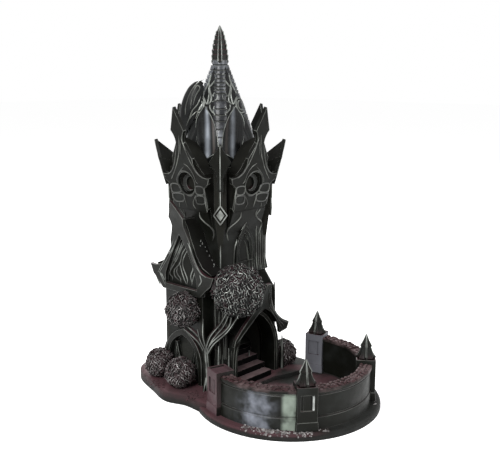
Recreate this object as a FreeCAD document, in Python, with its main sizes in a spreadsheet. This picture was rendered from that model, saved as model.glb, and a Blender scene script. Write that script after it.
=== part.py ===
"""A gothic dice tower with a walled dice tray, in millimetres.

The tower stands on the origin with +Z up. The door, the stairs and the round tray are on the -Y side,
and the gabled bay is on the -X side. Dice are dropped in under the lift-off roof, fall from baffle to
baffle down the square shaft, and roll down the stairs into the tray.

Pieces that repeat around the tower are drawn once, facing -Y, and turned about Z.
"""
import FreeCAD, Part
import Sketcher
import math
import os

from FreeCAD import Placement, Rotation, Vector

UP = Vector(0, 0, 1)
ALONG_X = Vector(1, 0, 0)

# Driving dimensions, all in millimetres except the angles, which are in degrees.
SIZES = {
    # ground plate
    "base_thick": 5, "mound_height": 4, "base_radius": 75, "base_round": 2.4,
    # tray
    "tray_offset": 77, "wall_inner": 58, "wall_outer": 66.5, "wall_top": 33.5, "coping_high": 3,
    "coping_lip": 0.9, "course_height": 14.8, "groove_depth": 0.8, "band_height": 31.8,
    # tray pillars and their caps
    "pillar_ring": 62.2, "pillar_width": 15.4, "pillar_top": 39, "well_depth": 1.2, "well_width": 12.6,
    "plinth_width": 17, "plinth_height": 7, "niche_width": 10, "niche_height": 12, "niche_foot": 21,
    "niche_depth": 1.4, "niche_panel": 6.4, "cap_width": 11.4, "cap_tip": 58.6,
    # shells of the two storeys
    "shell_half": 27.2, "shaft_half": 23, "storey_seam": 97.5, "shell_top": 188, "skirt_lip": 1.6,
    "skirt_height": 11,
    # door, porch and stairs
    "door_half": 23, "door_spring": 30, "door_apex": 66.4, "arch_thick": 5, "porch_front": 42.5,
    "stair_left": 23, "stair_right": 14, "stair_rise": 5, "stair_run": 8.1, "stair_front": 46.8,
    "first_tread": 13.8, "ramp_top": 54, "baffle_thick": 3, "baffle_drop": 15,
    "hood_foot": 44, "hood_thick": 2.8,
    # bay on the -X side
    "bay_front": 43, "bay_half": 22.5, "bay_top": 85, "sill_height": 4, "sill_half": 24.5, "sill_flare": 1,
    "bay_gable_tip": 163, "bay_gable_bend": 124, "bay_gable_curl": 11.8, "bay_recess": 6,
    "window_half": 19, "window_foot": 90, "window_spring": 98, "window_apex": 134,
    "mullion_width": 1.8, "mullion_pitch": 7.3, "mullion_top": 118, "tracery_thick": 3.4, "tracery_bar": 2,
    "blind_half": 18.4, "blind_spring": 25, "blind_apex": 48, "blind_band": 3.9, "blind_proud": 2,
    "blind_depth": 5, "strut_sink": 4, "strut_thick": 3, "strut_top": 39.3, "strut_fork": 33.5,
    # gables
    "gable_thick": 3.2, "gable_lean": 12.6, "gable_foot": 152, "gable_foot_back": 30.2,
    "eye_height": 175, "eye_radius": 9.7, "eye_floor": 33.5, "housing_half": 19.5, "housing_foot": 134,
    "housing_top": 183.5, "crescent_radius": 6.8, "crescent_proud": 2.5,
    # corners of the upper storey
    "pier_width": 9.6, "pier_front": 41.7, "pier_foot": 118, "pier_shoulder": 152, "pier_taper": 6.4,
    "rib_width": 3, "rib_proud": 1.6, "horn_foot": 171, "horn_foot_back": 43, "horn_lean": 13.5,
    "horn_thick": 2.6, "diamond_height": 151, "diamond_half": 5.6, "diamond_tall": 7.5, "diamond_proud": 1.2,
    "buttress_width": 11, "buttress_front": 46.5, "buttress_top": 88,
    # windows of the upper storey
    "lancet_half": 10.6, "lancet_foot": 97.5, "lancet_spring": 117, "lancet_apex": 139, "lancet_band": 2.2,
    "lancet_proud": 1.6,
    # lift-off roof
    "dome_half": 25, "dome_top": 270, "spire_tip": 300, "plug_depth": 8, "plug_gap": 0.5, "roof_clearance": 2,
    "spine_width": 6, "spine_proud": 1.6, "petal_start": 12, "petal_thick": 1.5,
    "lobe_tall": 23, "lobe_thick": 7.6, "lobe_deep": 11, "lobe_height": 233, "lobe_distance": 21.5,
    "lobe_lean": -13,
    # foliage
    "crown_front_radius": 22, "crown_left_radius": 15.5, "bush_radius": 13.5,
    "clump_radius": 8, "clump_pitch": 12, "clump_proud": 1.6,
}

SIDES = {"front": 0, "right": 90, "rear": 180, "left": -90}
CORNERS = {"front_left": -45, "front_right": 45, "rear_right": 135, "rear_left": -135}
PILLARS = {"left_rear": 163.8, "left_front": 232.2, "right_front": 307.8, "right_rear": 376.2}
CAPPED = ("left_front", "right_front", "right_rear")

# How far the bay stands out from the wall, as a formula on the sheet.
BAY_DEPTH = "Sizes.bay_front - Sizes.shell_half"

# An arch that grows by 1 at its sides grows by this at its apex.
APEX_GROWTH = 1.35

# Round masses of leaves: the dimension that holds each radius, and the place of each middle.
LEAF_BALLS = {
    "crown_front": ("crown_front_radius", (-30, -49.5, 93)),
    "crown_left": ("crown_left_radius", (-50, -7, 73)),
    "bush_rear_left": ("bush_radius", (-51, 22, 20)),
    "bush_front_left": ("bush_radius", (-56, -9, 21)),
    "bush_right": ("bush_radius", (42.5, -34, 17.5)),
}

# The tree's trunk and its two boughs: points on the middle line, each with the radius there.
TREE_FORK = (-46, -29, 46)
TREE_TRUNK = [((-44.5, -30, 9), 4.8), ((-45, -29.5, 24), 3.2), (TREE_FORK, 2.9)]
RIGHT_BOUGH = [(TREE_FORK, 2.9), ((-40, -36, 56), 2.8), ((-33, -43, 67), 2.5), ((-31, -48, 76), 2.2)]
LEFT_BOUGH = [(TREE_FORK, 2.2), ((-46.5, -19, 56), 1.9), ((-45, -8, 60), 1.6)]

doc = FreeCAD.newDocument("DiceTower")
sheet = doc.addObject("Spreadsheet::Sheet", "Sizes")
nodes = {}
blocks = {}


def fill_sheet():
    """Writes each driving dimension as a plain number in a cell that carries its alias."""
    for row, (alias, value) in enumerate(SIZES.items(), start=1):
        sheet.set(f"A{row}", alias)
        sheet.set(f"B{row}", str(value))
        sheet.setAlias(f"B{row}", alias)
    doc.recompute()


def size(alias):
    """Value of one driving dimension, read from the sheet."""
    return float(sheet.get(alias))


def ground():
    """Height of the ground under the tower."""
    return size("base_thick") + size("mound_height")


# ---------------------------------------------------------------- outlines
# An outline is a list of corners (x, y). A corner written (x, y, mx, my) is reached from the one
# before it by an arc through (mx, my).


def symmetric(right):
    """Closed outline from its right half, which is listed from the bottom up."""
    outline = list(right)
    for corner, below in zip(reversed(right), [None] + list(reversed(right))[:-1]):
        middle = (-below[2], below[3]) if below and len(below) == 4 else ()
        if below or corner[0]:
            outline.append((-corner[0], corner[1]) + middle)
    if right[0][0] == 0:
        outline.pop()
    return outline


def edges_of(outline):
    """Lines and arcs of a closed outline, in its own plane."""
    edges = []
    for last, corner in zip(outline[-1:] + outline[:-1], outline):
        start = Vector(last[0], last[1], 0)
        end = Vector(corner[0], corner[1], 0)
        if start.distanceToPoint(end) < 1e-6:
            continue
        if len(corner) == 4:
            edges.append(Part.Arc(start, Vector(corner[2], corner[3], 0), end))
        else:
            edges.append(Part.LineSegment(start, end))
    return edges


def pointed_arch(half, foot, spring, apex):
    """Pointed arch: upright jambs to the spring line, then two equal arcs that meet at the apex."""
    rise = apex - spring
    radius = (half * half + rise * rise) / (2 * half)
    turn = math.asin(rise / radius) / 2
    middle = (half - radius + radius * math.cos(turn), spring + radius * math.sin(turn))
    return symmetric([(half, foot), (half, spring), (0, apex) + middle])


def ogee_gable(foot, wing, waist, neck, leaf, tip):
    """Gable with flared wings and a leaf finial: its sides curve in from the wings to the neck."""
    sweep = (wing[0] * 0.36 + waist[0] * 0.64, wing[1] * 0.86 + waist[1] * 0.14)
    hollow = (neck[0] + 0.3 * (leaf[0] - neck[0]), neck[1] + 0.6 * (leaf[1] - neck[1]))
    return symmetric(foot + [wing, waist + sweep, neck, leaf + hollow, (0, tip)])


# ---------------------------------------------------------------- pieces


def new_body(name):
    """Empty body with its own label."""
    body = doc.addObject("PartDesign::Body", name)
    body.Label = name
    return body


def new_sketch(body, role, outlines, height=None):
    """Sketch of closed outlines on one of the body's own origin planes, raised by a formula."""
    plane = next(p for p in body.Origin.OriginFeatures if p.Role == role)
    sketch = body.newObject("Sketcher::SketchObject", f"{body.Name}_outline")
    sketch.AttachmentSupport = [(plane, "")]
    sketch.MapMode = "FlatFace"
    if height:
        sketch.setExpression("AttachmentOffset.Base.z", height)
    for outline in outlines:
        sketch.addGeometry(edges_of(outline), False)
    return sketch


def rectangle_sketch(body, width, depth, height=None):
    """Rectangle centred on the body's Z axis, with its two sizes bound to formulas."""
    sketch = new_sketch(body, "XY_Plane", [[(-1, -1), (1, -1), (1, 1), (-1, 1)]], height)
    for line in range(4):
        sketch.addConstraint(Sketcher.Constraint("Coincident", line, 2, (line + 1) % 4, 1))
        kind = "Horizontal" if line % 2 else "Vertical"
        sketch.addConstraint(Sketcher.Constraint(kind, line))
    sketch.addConstraint(Sketcher.Constraint("Symmetric", 0, 1, 1, 2, -1, 1))
    across = sketch.addConstraint(Sketcher.Constraint("DistanceX", 1, 1, 1, 2, 2.0))
    along = sketch.addConstraint(Sketcher.Constraint("DistanceY", 2, 1, 2, 2, 2.0))
    sketch.setExpression(f"Constraints[{across}]", width)
    sketch.setExpression(f"Constraints[{along}]", depth)
    return sketch


def circle_sketch(body, role, x, y, radius, height=None):
    """Circle with its radius bound to a formula."""
    sketch = new_sketch(body, role, [], height)
    sketch.addGeometry(Part.Circle(Vector(x, y, 0), UP, 1), False)
    index = sketch.addConstraint(Sketcher.Constraint("Radius", 0, 1.0))
    sketch.setExpression(f"Constraints[{index}]", radius)
    return sketch


def feature(body, kind, sketch, length, reverse=False, midplane=False, taper=None):
    """Pad or Pocket of a sketch, with its length bound to a formula."""
    made = body.newObject(f"PartDesign::{kind}", f"{body.Name}_{kind}")
    made.Profile = sketch
    made.setExpression("Length", length)
    made.Reversed = reverse
    if midplane:
        made.SideType = "Symmetric"
    if taper:
        made.setExpression("TaperAngle", taper)
    sketch.Visibility = False
    return made


def pad(body, sketch, length, **options):
    """Adds the sketch's extrusion to the body."""
    return feature(body, "Pad", sketch, length, **options)


def pocket(body, sketch, length, **options):
    """Cuts the sketch's extrusion out of the body, and checks that it took material away."""
    doc.recompute()
    before = body.Shape.Volume
    made = feature(body, "Pocket", sketch, length, **options)
    doc.recompute()
    if body.Shape.Volume > before - 1e-3:
        raise RuntimeError(f"the pocket in {body.Label} cuts nothing")
    return made


def place(piece, x=0, y=0, z=0, turn=0, lean=0):
    """Puts a piece down at (x, y, z), leans its top towards -Y, then turns it about the Z axis."""
    turned = Placement(Vector(0, 0, 0), Rotation(UP, turn))
    piece.Placement = turned * Placement(Vector(x, y, z), Rotation(ALONG_X, lean))
    return piece


def solid_feature(name, shape):
    """Piece whose shape is worked out in code from the sheet's sizes."""
    piece = doc.addObject("Part::Feature", name)
    piece.Label = name
    piece.Shape = shape
    return piece


def trimmed(name, piece, *neighbours):
    """The piece less what its neighbours fill, so that they meet face to face."""
    doc.recompute()
    piece.Label = f"{name}_untrimmed"
    for neighbour in neighbours:
        if not piece.Shape.BoundBox.intersect(neighbour.Shape.BoundBox):
            continue
        cut = doc.addObject("Part::Cut", name)
        cut.Base = piece
        cut.Tool = neighbour
        doc.recompute()
        piece = cut
    return piece


def grouped(name, pieces):
    """Identical separate solids under one name."""
    group = doc.addObject("Part::Compound", name)
    group.Links = pieces
    group.Label = name
    doc.recompute()
    return group


def keep(name, piece):
    """Registers a finished piece under the name of its file."""
    piece.Label = name
    nodes[name] = piece
    return piece


def prism_between(front, rear):
    """Solid with flat or ruled sides between two closed loops of the same number of points."""
    wires = [Part.makePolygon(loop + loop[:1]) for loop in (front, rear)]
    return Part.makeLoft(wires, True, True)


# ---------------------------------------------------------------- ground and tray


def ground_outline():
    """Edge of the raised ground under the tower: a free curve that bulges at the bushes."""
    left = [(-54, -60), (-66, -42), (-66, -25), (-71, -10), (-66, 12), (-59, 34), (-48, 52), (-20, 58)]
    right = [(14, 59), (40, 54), (57, 36), (63, 8), (61, -20), (64, -42), (54, -60)]
    curve = Part.BSplineCurve()
    curve.interpolate([Vector(x, y, 0) for x, y in left + right])
    landing = [(54, -60), (28, -56), (14, -51), (-24, -51), (-54, -60)]
    return [curve.toShape()] + [
        Part.makeLine(Vector(*a, 0), Vector(*b, 0)) for a, b in zip(landing, landing[1:])
    ]


def make_base():
    """Ground plate: the tray's round floor and the raised mound that carries the tower."""
    thick = size("base_thick")
    disc = Part.makeCylinder(size("base_radius"), thick, Vector(0, -size("tray_offset"), 0))
    mound_face = Part.Face(Part.Wire(ground_outline()))
    mound = mound_face.extrude(Vector(0, 0, thick + size("mound_height")))
    plate = disc.fuse(mound).removeSplitter()
    rim = [e for e in plate.Edges if is_outer_rim(e)]
    return keep("base_plate", solid_feature("base_plate", plate.makeFillet(size("base_round"), rim)))


def is_outer_rim(edge):
    """True for the long upper edges at the outside of the ground plate."""
    box = edge.BoundBox
    top = size("base_thick")
    if edge.Length < 60 or box.ZLength > 0.01:
        return False
    on_disc = abs(box.ZMax - top) < 0.01
    on_mound = abs(box.ZMax - top - size("mound_height")) < 0.01 and box.YMax > 40
    return on_disc or on_mound


def tray_point(angle, radius):
    """Point on a circle about the middle of the tray."""
    turn = math.radians(angle)
    return radius * math.cos(turn), radius * math.sin(turn) - size("tray_offset")


def make_pillar(name, angle):
    """Square pillar on a plinth, with a sunk panel on its inner and outer face and a well on top."""
    body = new_body(f"tray_pillar_{name}")
    top = "Sizes.pillar_top - Sizes.base_thick"
    pad(body, rectangle_sketch(body, "Sizes.pillar_width", "Sizes.pillar_width"), top)
    plinth = rectangle_sketch(body, "Sizes.plinth_width", "Sizes.plinth_width")
    pad(body, plinth, "Sizes.plinth_height", taper="-4")
    well = rectangle_sketch(body, "Sizes.well_width", "Sizes.well_width", top)
    pocket(body, well, "Sizes.well_depth")
    half = size("niche_width") / 2
    foot = size("niche_foot") - size("base_thick")
    head = foot + size("niche_height")
    panel = size("niche_panel") / 2
    slots = [[(s * panel, foot), (s * half, foot), (s * half, head), (s * panel, head)] for s in (-1, 1)]
    face = [(-half, foot), (half, foot), (half, head), (-half, head)]
    for depth, outlines in (("Sizes.niche_depth", slots), ("Sizes.niche_depth / 2", [face])):
        for way, reverse in (("", False), ("-", True)):
            sketch = new_sketch(body, "XZ_Plane", outlines, f"{way}Sizes.pillar_width / 2")
            pocket(body, sketch, depth, reverse=reverse)
    x, y = tray_point(angle, size("pillar_ring"))
    body.Placement = Placement(Vector(x, y, size("base_thick")), Rotation(UP, angle - 90))
    return keep(f"tray_pillar_{name}", trimmed(f"tray_pillar_{name}", body, nodes["base_plate"]))


def make_cap(name, angle):
    """Two-tier spire cap: square tiers that flare to an eave, and a sharp tip."""
    width = size("cap_width")
    foot = size("pillar_top") - size("well_depth")
    tall = size("cap_tip") - foot
    tiers = [(0, 1), (0.34, 0.62), (0.56, 0.42), (0.6, 0.76), (0.66, 0.68), (1, 0.02)]
    wires = []
    for share, spread in tiers:
        half = width * spread / 2
        corners = [Vector(x * half, y * half, share * tall) for x, y in ((1, 1), (-1, 1), (-1, -1), (1, -1))]
        wires.append(Part.makePolygon(corners + corners[:1]))
    cap = solid_feature(f"pillar_cap_{name}", Part.makeLoft(wires, True, True))
    x, y = tray_point(angle, size("pillar_ring"))
    cap.Placement = Placement(Vector(x, y, foot), Rotation(UP, angle - 90))
    return keep(f"pillar_cap_{name}", cap)


def wall_section():
    """Section of the tray wall: a lower course, a plain band and a top band, with grooves between."""
    inner, outer = size("wall_inner"), size("wall_outer")
    foot, top = size("base_thick"), size("wall_top")
    course, band, deep = size("course_height"), size("band_height"), size("groove_depth")
    return [
        (inner, foot), (outer + deep, foot), (outer + deep / 2, foot + deep),
        (outer + deep / 2, course - deep), (outer - deep, course), (outer, course + deep),
        (outer, band - deep), (outer - deep, band), (outer + deep / 4, band + deep),
        (outer + deep / 4, top), (inner, top),
    ]


def coping_section():
    """Section of the coping: a low slab that overhangs the wall on both sides."""
    lip, foot, high = size("coping_lip"), size("wall_top"), size("coping_high")
    inner, outer = size("wall_inner") - lip, size("wall_outer") + lip
    soft = high / 3
    return [
        (inner, foot), (outer, foot), (outer, foot + high - soft), (outer - soft, foot + high),
        (inner + soft, foot + high), (inner, foot + high - soft),
    ]


def make_ring_piece(name, section, first, last):
    """Stretch of the tray's ring between two pillars: its section turned about the tray's middle."""
    body = new_body(name)
    sketch = new_sketch(body, "XZ_Plane", [section])
    turned = body.newObject("PartDesign::Revolution", f"{name}_turned")
    turned.Profile = sketch
    turned.ReferenceAxis = (sketch, ["V_Axis"])
    turned.Angle = PILLARS[last] - PILLARS[first]
    body.Placement = Placement(Vector(0, -size("tray_offset"), 0), Rotation(UP, PILLARS[first]))
    return trimmed(name, body, nodes[f"tray_pillar_{first}"], nodes[f"tray_pillar_{last}"])


def make_tray():
    """Pillars, caps, walls and coping of the tray."""
    for name, angle in PILLARS.items():
        make_pillar(name, angle)
        if name in CAPPED:
            make_cap(name, angle)
    stretches = {"left": ("left_rear", "left_front"), "front": ("left_front", "right_front"),
                 "right": ("right_front", "right_rear")}
    for side, (first, last) in stretches.items():
        keep(f"tray_wall_{side}", make_ring_piece(f"tray_wall_{side}", wall_section(), first, last))
        keep(f"tray_coping_{side}", make_ring_piece(f"tray_coping_{side}", coping_section(), first, last))


# ---------------------------------------------------------------- lower storey


def door_outline(grow=0):
    """The doorway's pointed arch, made larger all round."""
    apex = size("door_apex") + APEX_GROWTH * grow
    return pointed_arch(size("door_half") + grow, ground(), size("door_spring"), apex)


def make_lower_shell():
    """Square shell of the lower storey, open at the top and at the door."""
    body = new_body("lower_shell")
    wide, foot = "Sizes.shell_half * 2", "Sizes.base_thick + Sizes.mound_height"
    pad(body, rectangle_sketch(body, wide, wide, foot), f"Sizes.storey_seam - ({foot})")
    shaft = rectangle_sketch(body, "Sizes.shaft_half * 2", "Sizes.shaft_half * 2", "Sizes.storey_seam")
    pocket(body, shaft, "Sizes.storey_seam")
    door = new_sketch(body, "XZ_Plane", [door_outline()], "Sizes.shell_half + 1")
    pocket(body, door, "Sizes.shell_half - Sizes.shaft_half + 2")
    return keep("lower_shell", body)


def make_trimming_blocks():
    """Blocks that fill the shaft, the doorway and the bay, for trimming what stands against the walls."""
    shaft = new_body("shaft_block")
    pad(shaft, rectangle_sketch(shaft, "Sizes.shaft_half * 2", "Sizes.shaft_half * 2"), "Sizes.shell_top")
    bay = new_body("bay_block")
    side = [(-size("bay_half"), 0), (size("bay_half"), 0), (size("bay_half"), size("bay_top")),
            (-size("bay_half"), size("bay_top"))]
    pad(bay, new_sketch(bay, "XZ_Plane", [side], "Sizes.shell_half"), "Sizes.bay_front - Sizes.shell_half")
    place(bay, turn=SIDES["left"])
    door = new_body("door_block")
    pad(door, new_sketch(door, "XZ_Plane", [door_outline()], "Sizes.shaft_half"),
        "Sizes.porch_front - Sizes.shaft_half")
    return {"shaft": shaft, "bay": bay, "door": door}


def make_buttresses():
    """Diagonal piers at the four corners of the lower storey, with sloped tops."""
    pieces = []
    foot, front, top = ground(), -size("buttress_front"), size("buttress_top")
    rear, ridge, slope, plinth, step = -30, -38, 8, 19, 2.5
    profile = [(front - step, foot), (rear, foot), (rear, top + slope), (ridge, top + slope),
               (front, top - slope), (front, foot + plinth + 2 * step), (front - step, foot + plinth)]
    for corner, turn in CORNERS.items():
        body = new_body(f"buttress_{corner}")
        pad(body, new_sketch(body, "YZ_Plane", [profile]), "Sizes.buttress_width", midplane=True)
        pieces.append(place(body, turn=turn))
    names = ("lower_shell", "upper_shell", "stairs", "door_arch", "porch_roof", "bay_sill", "bay_roof")
    beside = [nodes[name] for name in names] + list(blocks.values())
    return keep("buttresses", trimmed("buttresses", grouped("buttress_set", pieces), *beside))


def make_door_arch():
    """Pointed arch that frames the door and lines the porch."""
    body = new_body("door_arch")
    outside = new_sketch(body, "XZ_Plane", [door_outline(size("arch_thick"))], "Sizes.shell_half")
    pad(body, outside, "Sizes.porch_front - Sizes.shell_half")
    inside = new_sketch(body, "XZ_Plane", [door_outline()], "Sizes.porch_front + 1")
    pocket(body, inside, "Sizes.porch_front - Sizes.shell_half + 2")
    return keep("door_arch", body)


def make_porch_gable():
    """Hood over the door, leaning outwards: a flared wing on the right, and a plain rake on the left.

    Its lower edge follows the outside of the door's arch, and its top is a cut-off finial.
    """
    foot = size("hood_foot")
    half = size("door_half") + size("arch_thick")
    apex = size("door_apex") + APEX_GROWTH * size("arch_thick")
    rise, reach = apex - size("door_spring"), foot - size("door_spring")
    radius = (half ** 2 + rise ** 2) / (2 * half)
    foot_x = half - radius + math.sqrt(radius ** 2 - reach ** 2)
    mid_z = (foot + apex) / 2
    mid_x = half - radius + math.sqrt(radius ** 2 - (mid_z - size("door_spring")) ** 2)
    wing = [(35.2, 1.8), (36.2, 8.4), (8.1, 33.4, 20.3, 18.2)]
    finial = [(4.6, 41), (2.6, 51.4), (-2.6, 51.4), (-4.6, 41), (-8.1, 33.4)]
    rake = [(-29.6, 6.5, -21.5, 18.6), (-30, 0.5)]
    inside = [(-foot_x, 0), (0, apex - foot, -mid_x, mid_z - foot), (foot_x, 0, mid_x, mid_z - foot)]
    body = new_body("porch_gable")
    pad(body, new_sketch(body, "XZ_Plane", [wing + finial + rake + inside]), "Sizes.hood_thick")
    place(body, y=-size("porch_front"), z=foot, lean=size("gable_lean"))
    return keep("porch_gable", body)


def leaning_loop(points, foot_distance, foot_height, slope):
    """Points (x, z) put on a plane that faces -Y and leans outwards from its foot."""
    return [Vector(x, -foot_distance - slope * (z - foot_height), z) for x, z in points]


def make_porch_roof():
    """Roof behind the porch hood, running back to the tower's wall over the arch."""
    slope = math.tan(math.radians(size("gable_lean")))
    foot, rear_top = size("hood_foot"), 86
    right = [(20, 60), (12, 69.5), (6.4, 79), (2.6, 84), (2.6, 92)]
    loop = [(31, 54)] + right + [(-x, z) for x, z in reversed(right)] + [(-27, 54)]
    front = leaning_loop(loop, size("porch_front"), foot, slope)
    rear = leaning_loop([(x, min(z, rear_top)) for x, z in loop], size("shell_half"), foot, 0)
    void = new_body("porch_void")
    arch = new_sketch(void, "XZ_Plane", [door_outline(size("arch_thick"))], "Sizes.shell_half - 1")
    pad(void, arch, "Sizes.shell_half + 4")
    block = solid_feature("porch_roof_block", prism_between(front, rear))
    return keep("porch_roof", trimmed("porch_roof", block, void))


def make_stairs():
    """Flight of four steps that dice roll down, from the foot of the exit ramp out through the door."""
    body = new_body("stairs")
    profile = [(-size("stair_front"), ground())]
    for step in range(4):
        y = -size("stair_front") + step * size("stair_run")
        z = size("first_tread") + step * size("stair_rise")
        profile += [(y, z), (y + size("stair_run"), z)]
    profile.append((profile[-1][0], ground()))
    sketch = new_sketch(body, "YZ_Plane", [profile], "-Sizes.stair_left + 0.3")
    pad(body, sketch, "Sizes.stair_left + Sizes.stair_right - 0.3")
    return keep("stairs", body)


def make_baffle(name, high, wall):
    """Sloped plate in the shaft, from one wall down to just short of the middle."""
    body = new_body(name)
    thick = size("baffle_thick")
    start, end, low = wall * (size("shaft_half") - 0.01), wall, high - size("baffle_drop")
    profile = [(start, high), (end, low), (end, low - thick), (start, high - thick)]
    sketch = new_sketch(body, "YZ_Plane", [profile])
    pad(body, sketch, "(Sizes.shaft_half - 0.01) * 2", midplane=True)
    return keep(name, body)


def make_dice_path():
    """Exit ramp and three baffles that turn the dice on their way down."""
    top_tread = size("first_tread") + 3 * size("stair_rise")
    stair_rear = -size("stair_front") + 4 * size("stair_run")
    body = new_body("exit_ramp")
    rear = size("shaft_half") - 0.01
    profile = [(stair_rear, ground()), (rear, ground()), (rear, size("ramp_top")), (stair_rear, top_tread)]
    pad(body, new_sketch(body, "YZ_Plane", [profile]), "(Sizes.shaft_half - 0.01) * 2", midplane=True)
    keep("exit_ramp", body)
    for name, high, wall in (("lower", 103, -1), ("middle", 137, 1), ("upper", 171, -1)):
        make_baffle(f"baffle_{name}", high, wall)


# ---------------------------------------------------------------- bay on the -X side


def make_bay():
    """Bay that stands out from the -X wall, with a blind arch below and a gabled window above."""
    make_bay_wall()
    make_blind_arch()
    make_bay_sill()
    make_bay_gable()
    make_bay_roof()
    make_tracery()


def blind_outline(grow=0):
    """The bay's blind arch, made larger all round."""
    apex = size("blind_apex") + APEX_GROWTH * grow
    return pointed_arch(size("blind_half") + grow, ground(), size("blind_spring"), apex)


def make_bay_wall():
    """Block under the ledge, with the blind arch sunk into its face."""
    wall = new_body("bay_wall")
    half, top = size("bay_half"), size("bay_top")
    block = [(-half, ground()), (half, ground()), (half, top), (-half, top)]
    pad(wall, new_sketch(wall, "XZ_Plane", [block], "Sizes.shell_half"), BAY_DEPTH)
    arch = new_sketch(wall, "XZ_Plane", [blind_outline()], "Sizes.bay_front + 1")
    pocket(wall, arch, "Sizes.blind_depth + 1")
    keep("bay_wall", place(wall, turn=SIDES["left"]))


def make_blind_arch():
    """Raised band round the blind arch, and the two forked struts that stand inside it."""
    frame = new_body("blind_arch")
    outside = new_sketch(frame, "XZ_Plane", [blind_outline(size("blind_band"))], "Sizes.bay_front")
    pad(frame, outside, "Sizes.blind_proud")
    inside = new_sketch(frame, "XZ_Plane", [blind_outline()], "Sizes.bay_front + Sizes.blind_proud + 1")
    pocket(frame, inside, "Sizes.blind_proud + 2")
    foot, fork, top = ground(), size("strut_fork"), size("strut_top")
    strut = [(3, foot), (5.8, foot), (11.3, fork), (13.4, foot), (15.8, foot), (12.7, top), (10.5, top)]
    for hand in (-1, 1):
        outline = [(hand * x, z) for x, z in strut]
        sketch = new_sketch(frame, "XZ_Plane", [outline], "Sizes.bay_front - Sizes.strut_sink")
        pad(frame, sketch, "Sizes.strut_thick")
    keep("blind_arch", place(frame, turn=SIDES["left"]))


def make_bay_sill():
    """Ledge over the bay's wall, which flares upwards."""
    sill = new_body("bay_sill")
    half, flare = size("sill_half"), size("sill_flare")
    foot, top = size("bay_top"), size("bay_top") + size("sill_height")
    ledge = [(-half, foot), (half, foot), (half + flare, top), (-half - flare, top)]
    pad(sill, new_sketch(sill, "XZ_Plane", [ledge], "Sizes.shell_half"), BAY_DEPTH)
    keep("bay_sill", place(sill, turn=SIDES["left"]))


def window_outline(lower=0):
    """The bay's pointed window, with its apex lowered by a given amount."""
    half, spring = size("window_half"), size("window_spring")
    bend = (0.6 * half, spring + 0.47 * (size("window_apex") - spring))
    return symmetric([(half, size("window_foot")), (half, spring), (0, size("window_apex") - lower) + bend])


def make_bay_gable():
    """Gable of the bay: a pierced ogee plate whose top curls outwards, its roof and its tracery."""
    front, thick = size("bay_front"), size("gable_thick")
    foot, tip, bend = size("bay_top"), size("bay_gable_tip"), size("bay_gable_bend")
    curl = size("bay_gable_curl")
    foot_line, wing, waist = [(22.5, foot), (29.5, 92), (34.6, 96)], (38.2, 104), (11.7, 128)
    outline = ogee_gable(foot_line, wing, waist, (7.1, 140), (8.6, 148), tip)
    plate = new_body("bay_gable_outline")
    face = new_sketch(plate, "XZ_Plane", [outline, window_outline()], "Sizes.bay_front - 1")
    pad(plate, face, "Sizes.gable_thick + Sizes.bay_gable_curl + 2")
    middle = (bend + tip) / 2
    profile = [
        (-front, foot), (-front, bend), (-front - curl, tip + 1, -front - 0.3 * curl, middle),
        (-front - curl - thick, tip + 1), (-front - thick, bend, -front - 0.3 * curl - thick, middle),
        (-front - thick, foot),
    ]
    sheet_body = new_body("bay_gable_profile")
    pad(sheet_body, new_sketch(sheet_body, "YZ_Plane", [profile]), "Sizes.bay_half * 4", midplane=True)
    gable = doc.addObject("Part::Common", "bay_gable")
    gable.Base = plate
    gable.Tool = sheet_body
    doc.recompute()
    keep("bay_gable", place(gable, turn=SIDES["left"]))


def make_bay_roof():
    """Roof of the bay: ogee slopes that run from the gable back to the wall, hollow behind the window."""
    foot = size("bay_top") + size("sill_height")
    right = [(25.5, foot), (25.5, 97), (33, 104.5), (22.5, 109), (15.5, 118), (10.8, 128), (6, 139), (2, 146)]
    loop = right + [(-x, z) for x, z in reversed(right)]
    block = prism_between(
        leaning_loop(loop, size("bay_front"), foot, 0), leaning_loop(loop, size("shell_half"), foot, 0)
    )
    recess = new_body("bay_recess")
    room = new_sketch(recess, "XZ_Plane", [window_outline(2)], "Sizes.bay_front - Sizes.bay_recess")
    pad(recess, room, "Sizes.bay_recess + 1")
    roof = doc.addObject("Part::Cut", "bay_roof_front")
    roof.Base = solid_feature("bay_roof_block", block)
    roof.Tool = recess
    turned = place(roof, turn=SIDES["left"])
    keep("bay_roof", trimmed("bay_roof", turned, nodes["bay_gable"], nodes["upper_shell"]))


def make_tracery():
    """Tracery in the bay's window: a bar and four mullions, the outer two shorter."""
    body = new_body("bay_tracery")
    half, foot, pitch = size("mullion_width") / 2, size("window_foot"), size("mullion_pitch")
    plane = "Sizes.bay_front - Sizes.bay_recess"
    for place_along in (-1.5, -0.5, 0.5, 1.5):
        centre = place_along * pitch
        top = size("mullion_top") - 1.6 * abs(centre)
        mullion = [(centre - half, foot), (centre + half, foot), (centre + half / 2, top),
                   (centre - half / 2, top)]
        pad(body, new_sketch(body, "XZ_Plane", [mullion], plane), "Sizes.tracery_thick")
    side, head = size("window_half") - 0.1, foot + size("tracery_bar")
    bar = [(-side, foot), (side, foot), (side, head), (-side, head)]
    pad(body, new_sketch(body, "XZ_Plane", [bar], plane), "Sizes.tracery_thick")
    keep("bay_tracery", place(body, turn=SIDES["left"]))


# ---------------------------------------------------------------- upper storey


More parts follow.
